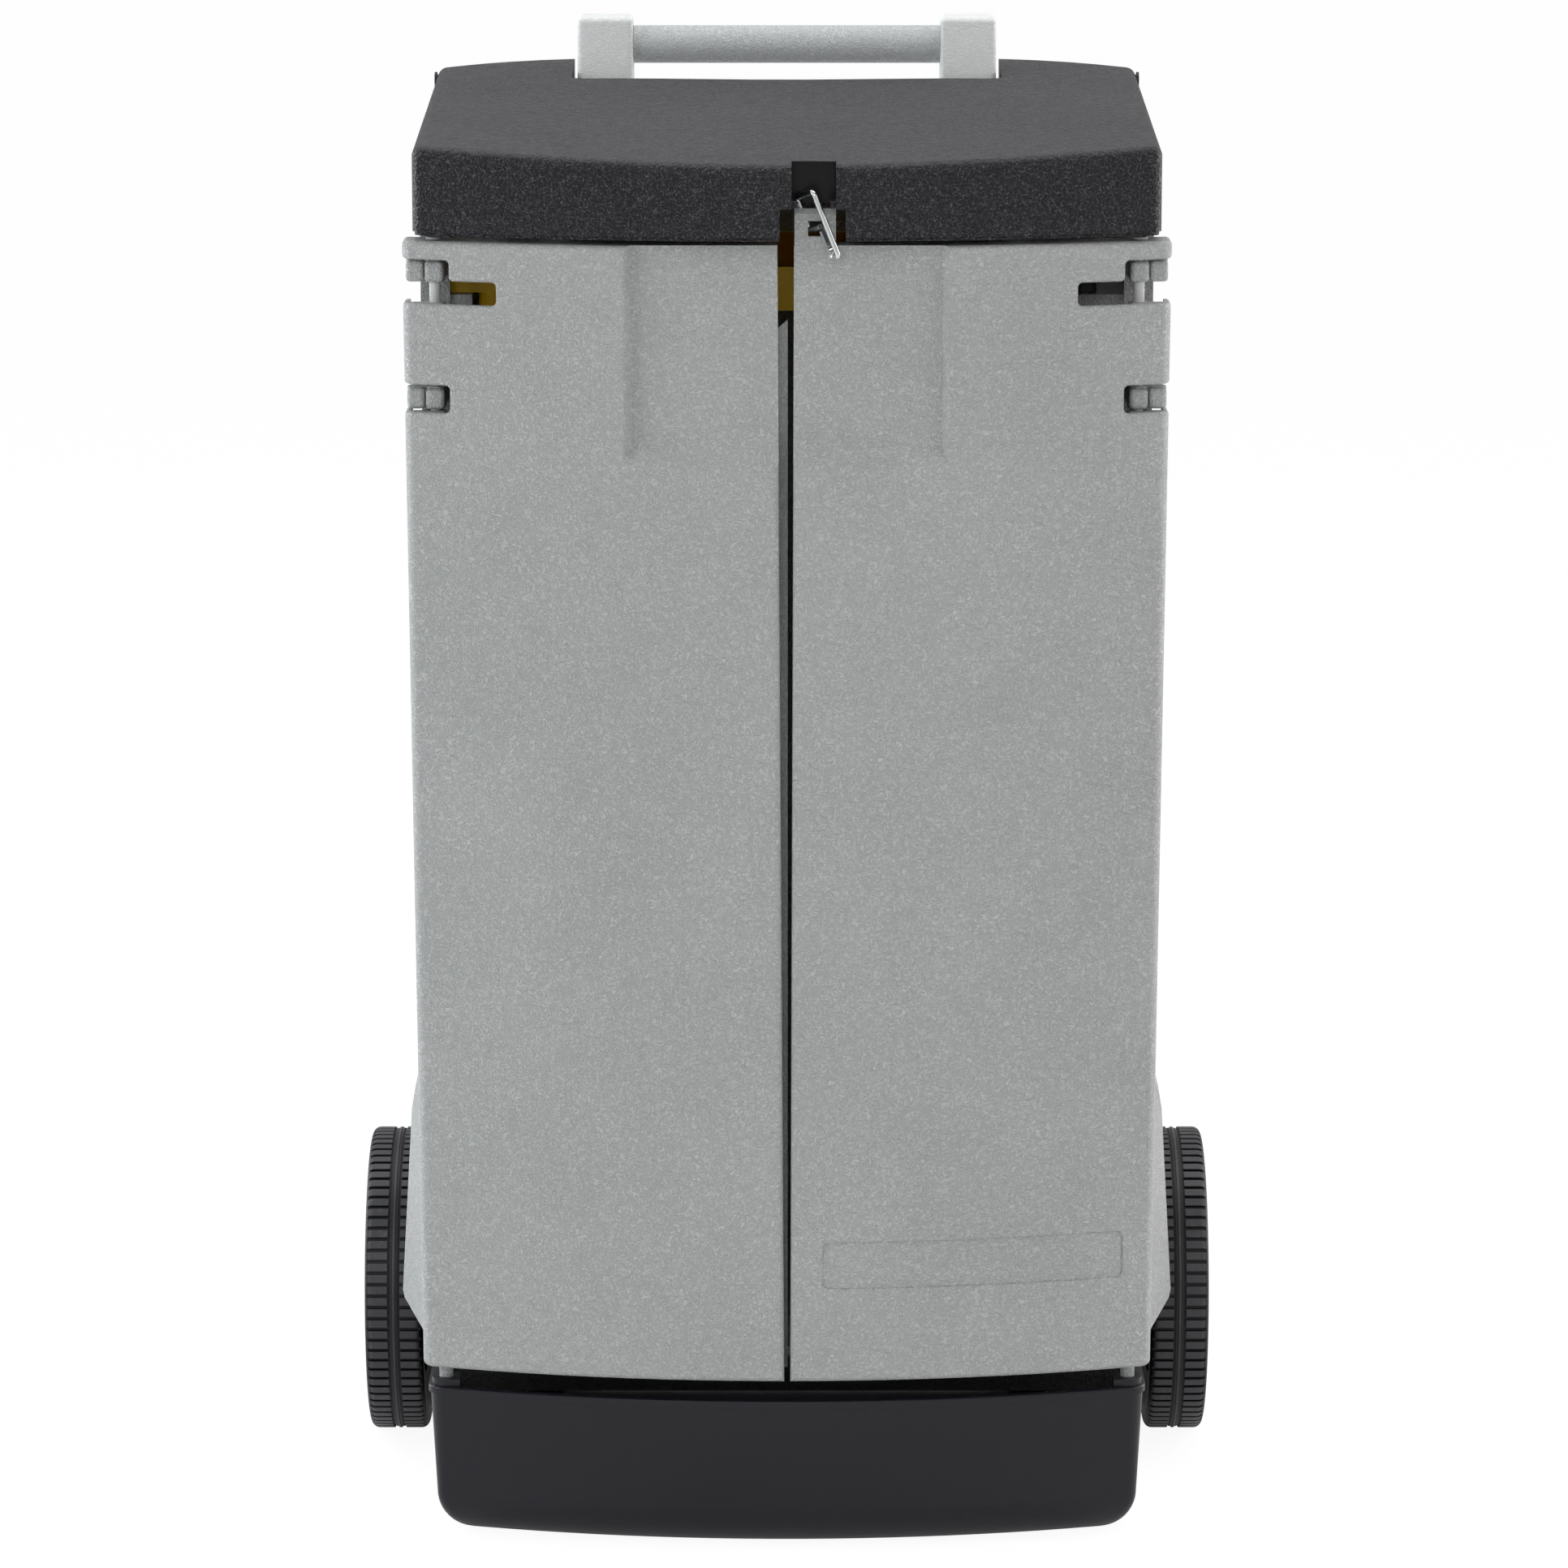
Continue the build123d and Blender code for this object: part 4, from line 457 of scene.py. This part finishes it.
# %% [markdown]
# ## Backs of the wheel flares
# The solids leave each wheel flare open towards its wheel, with a slot in the cabinet's side where
# the hollow ends.  On a moulding such a flare is closed.  A flat face could hide the opening, but a
# wall with a thickness looks right from inside as well.  So two prisms a side close it: a thin wall
# a little inside the flare's rim, and a filler in the thickness of the cabinet's side.

# %% Flare backs, in millimetres
CABINET_HALF = 195.0
CABINET_WALL = 4.0
FLARE_REAR_Y = -14.0
FLARE_EDGE = [
    (-2.0, 276.0), (4.0, 262.0), (16.0, 240.0), (18.7, 225.0),
    (26.3, 112.0), (25.2, 108.0), (1.5, 88.4), (-2.0, 88.4),
]
LAP = 1.0                          # how far the wall reaches into the flare's own skin
RIM_STEP = 0.4                     # how far the wall stays inside the flare's rim
BACK_THICK = 3.0
BACK_EDGE = [(reach - CABINET_WALL + LAP, z - LAP) for reach, z in FLARE_EDGE]
BACK_Y = (FLARE_REAR_Y - RIM_STEP - BACK_THICK, FLARE_REAR_Y - RIM_STEP)
FIT = 0.1                          # how far the filler stays under both faces of the side
FILLER_INNER = FIT - CABINET_WALL
FILLER_LOW_Z = 85.0
FILLER_HIGH_Z = 272.0
FILLER_EDGE = [
    (FILLER_INNER, FILLER_HIGH_Z), (-FIT, FILLER_HIGH_Z),
    (-FIT, FILLER_LOW_Z), (FILLER_INNER, FILLER_LOW_Z),
]
PAST_FRONT = 3.6                   # how far the filler reaches past the slot's two ends
PAST_REAR = 0.5
FILLER_Y = (FLARE_REAR_Y - PAST_FRONT, FLARE_REAR_Y + CABINET_WALL + PAST_REAR)


def prism(form, side, edge, ends_y):
    """Solid between two places along Y; its edge is how far past the cabinet's side, and z."""
    front, rear = (
        [form.verts.new((side * (CABINET_HALF + out) * mm, y * mm, z * mm)) for out, z in edge]
        for y in ends_y
    )
    form.faces.new(front)
    form.faces.new(rear)
    for here in range(len(edge)):
        following = (here + 1) % len(edge)
        form.faces.new((front[here], front[following], rear[following], rear[here]))


def flare_back(name, side):
    form = bmesh.new()
    prism(form, side, BACK_EDGE, BACK_Y)
    prism(form, side, FILLER_EDGE, FILLER_Y)
    bmesh.ops.recalc_face_normals(form, faces=form.faces)
    mesh = bpy.data.meshes.new(name)
    form.to_mesh(mesh)
    form.free()
    mesh.materials.append(shell_grey_painted_shade)
    back = bpy.data.objects.new(name, mesh)
    scene.collection.objects.link(back)
    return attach(back, "cabinet")


flare_backs = [flare_back("left_flare_back", -1), flare_back("right_flare_back", 1)]
print("flare backs:", [(back.name, len(back.data.polygons)) for back in flare_backs])

# %% [markdown]
# ## Floor
# The cabinet stands on a plain pale floor.  A lit grey floor would show where it ends, and a shadow
# catcher would need a white ground laid under the picture afterwards.  So the floor mixes a little
# of its own shade into the white light that the camera sees, and reflections see a fifth of it.

# %% Floor
FLOOR_HALF = 16.0
WHITE_TO_CAMERA = 0.86
WHITE_TO_REFLECTIONS = 0.2
WHITE_STRENGTH = 1.08
floor_mesh = bpy.data.meshes.new("floor")
floor_form = bmesh.new()
bmesh.ops.create_grid(floor_form, x_segments=1, y_segments=1, size=FLOOR_HALF)
floor_form.to_mesh(floor_mesh)
floor_form.free()
floor = bpy.data.objects.new("floor", floor_mesh)
scene.collection.objects.link(floor)
floor_finish = Finish("pale_floor", Base_Color=(0.80, 0.80, 0.80, 1), Roughness=0.9)
ray = floor_finish.node("ShaderNodeLightPath", {}, {}, "Is Camera Ray")
glossy = floor_finish.node("ShaderNodeLightPath", {}, {}, "Is Glossy Ray")
white = floor_finish.node("ShaderNodeEmission", {}, {"Color": (1, 1, 1, 1), "Strength": WHITE_STRENGTH})
plain = Field(floor_finish, floor_finish.shader.outputs[0])
share = ray * WHITE_TO_CAMERA + glossy * WHITE_TO_REFLECTIONS
seen = floor_finish.node("ShaderNodeMixShader", {}, {0: share, 1: plain, 2: white})
output = floor_finish.tree.nodes["Material Output"]
floor_finish.tree.links.new(seen.socket, output.inputs["Surface"])
floor_mesh.materials.append(floor_finish.material)
print("floor", tuple(round(v, 1) for v in floor.dimensions))

# %% [markdown]
# ## World and lamps
# Black plastic shows what it reflects, and grey grain shows only under light that grazes it.  One
# bright dome would flatten both.  So the world is white to the camera and half as bright to all else,
# and soft boxes shape the object: one above, one in front, a cool one on the left and a warmer,
# weaker one on the right, with two tall strips behind that draw a line along the upright edges.

# %% World and lamps
SURROUND = 0.52
world = bpy.data.worlds.new("studio")
world.use_nodes = True
scene.world = world
tree = world.node_tree
background = tree.nodes["Background"]
path = tree.nodes.new("ShaderNodeLightPath")
strength = tree.nodes.new("ShaderNodeMath")
strength.operation = "MULTIPLY_ADD"
tree.links.new(path.outputs["Is Camera Ray"], strength.inputs[0])
strength.inputs[1].default_value = 1.0 - SURROUND
strength.inputs[2].default_value = SURROUND
tree.links.new(strength.outputs[0], background.inputs["Strength"])
background.inputs["Color"].default_value = (1, 1, 1, 1)


def soft_box(name, place, aim, size, power, colour=(1, 1, 1)):
    lamp = bpy.data.lights.new(name, "AREA")
    lamp.shape = "RECTANGLE"
    lamp.size, lamp.size_y = size
    lamp.energy = power
    lamp.color = colour
    holder = bpy.data.objects.new(name, lamp)
    holder.location = place
    holder.rotation_euler = (Vector(aim) - Vector(place)).to_track_quat("-Z", "Y").to_euler()
    scene.collection.objects.link(holder)
    return holder


MIDDLE = (0, 0, 0.45)
lamps = [
    soft_box("top_box", (0.1, 0.4, 2.6), MIDDLE, (2.4, 1.6), 24.0),
    soft_box("left_box", (-2.4, -0.9, 1.3), MIDDLE, (1.0, 2.2), 28.0, (0.95, 0.98, 1.0)),
    soft_box("right_box", (2.4, -0.7, 1.2), MIDDLE, (0.9, 2.0), 17.0, (1.0, 0.98, 0.95)),
    soft_box("front_box", (-0.3, -3.2, 1.9), (0, 0, 0.6), (1.4, 1.0), 13.0),
    soft_box("left_rim", (-1.9, 1.1, 0.9), (-0.2, 0, 0.5), (0.5, 1.9), 26.0, (0.94, 0.97, 1.0)),
    soft_box("right_rim", (1.9, 1.1, 0.9), (0.2, 0, 0.5), (0.5, 1.9), 22.0),
]
print("lamps:", [lamp.name for lamp in lamps])

# %% [markdown]
# ## Finishing
# Looks never change a size.
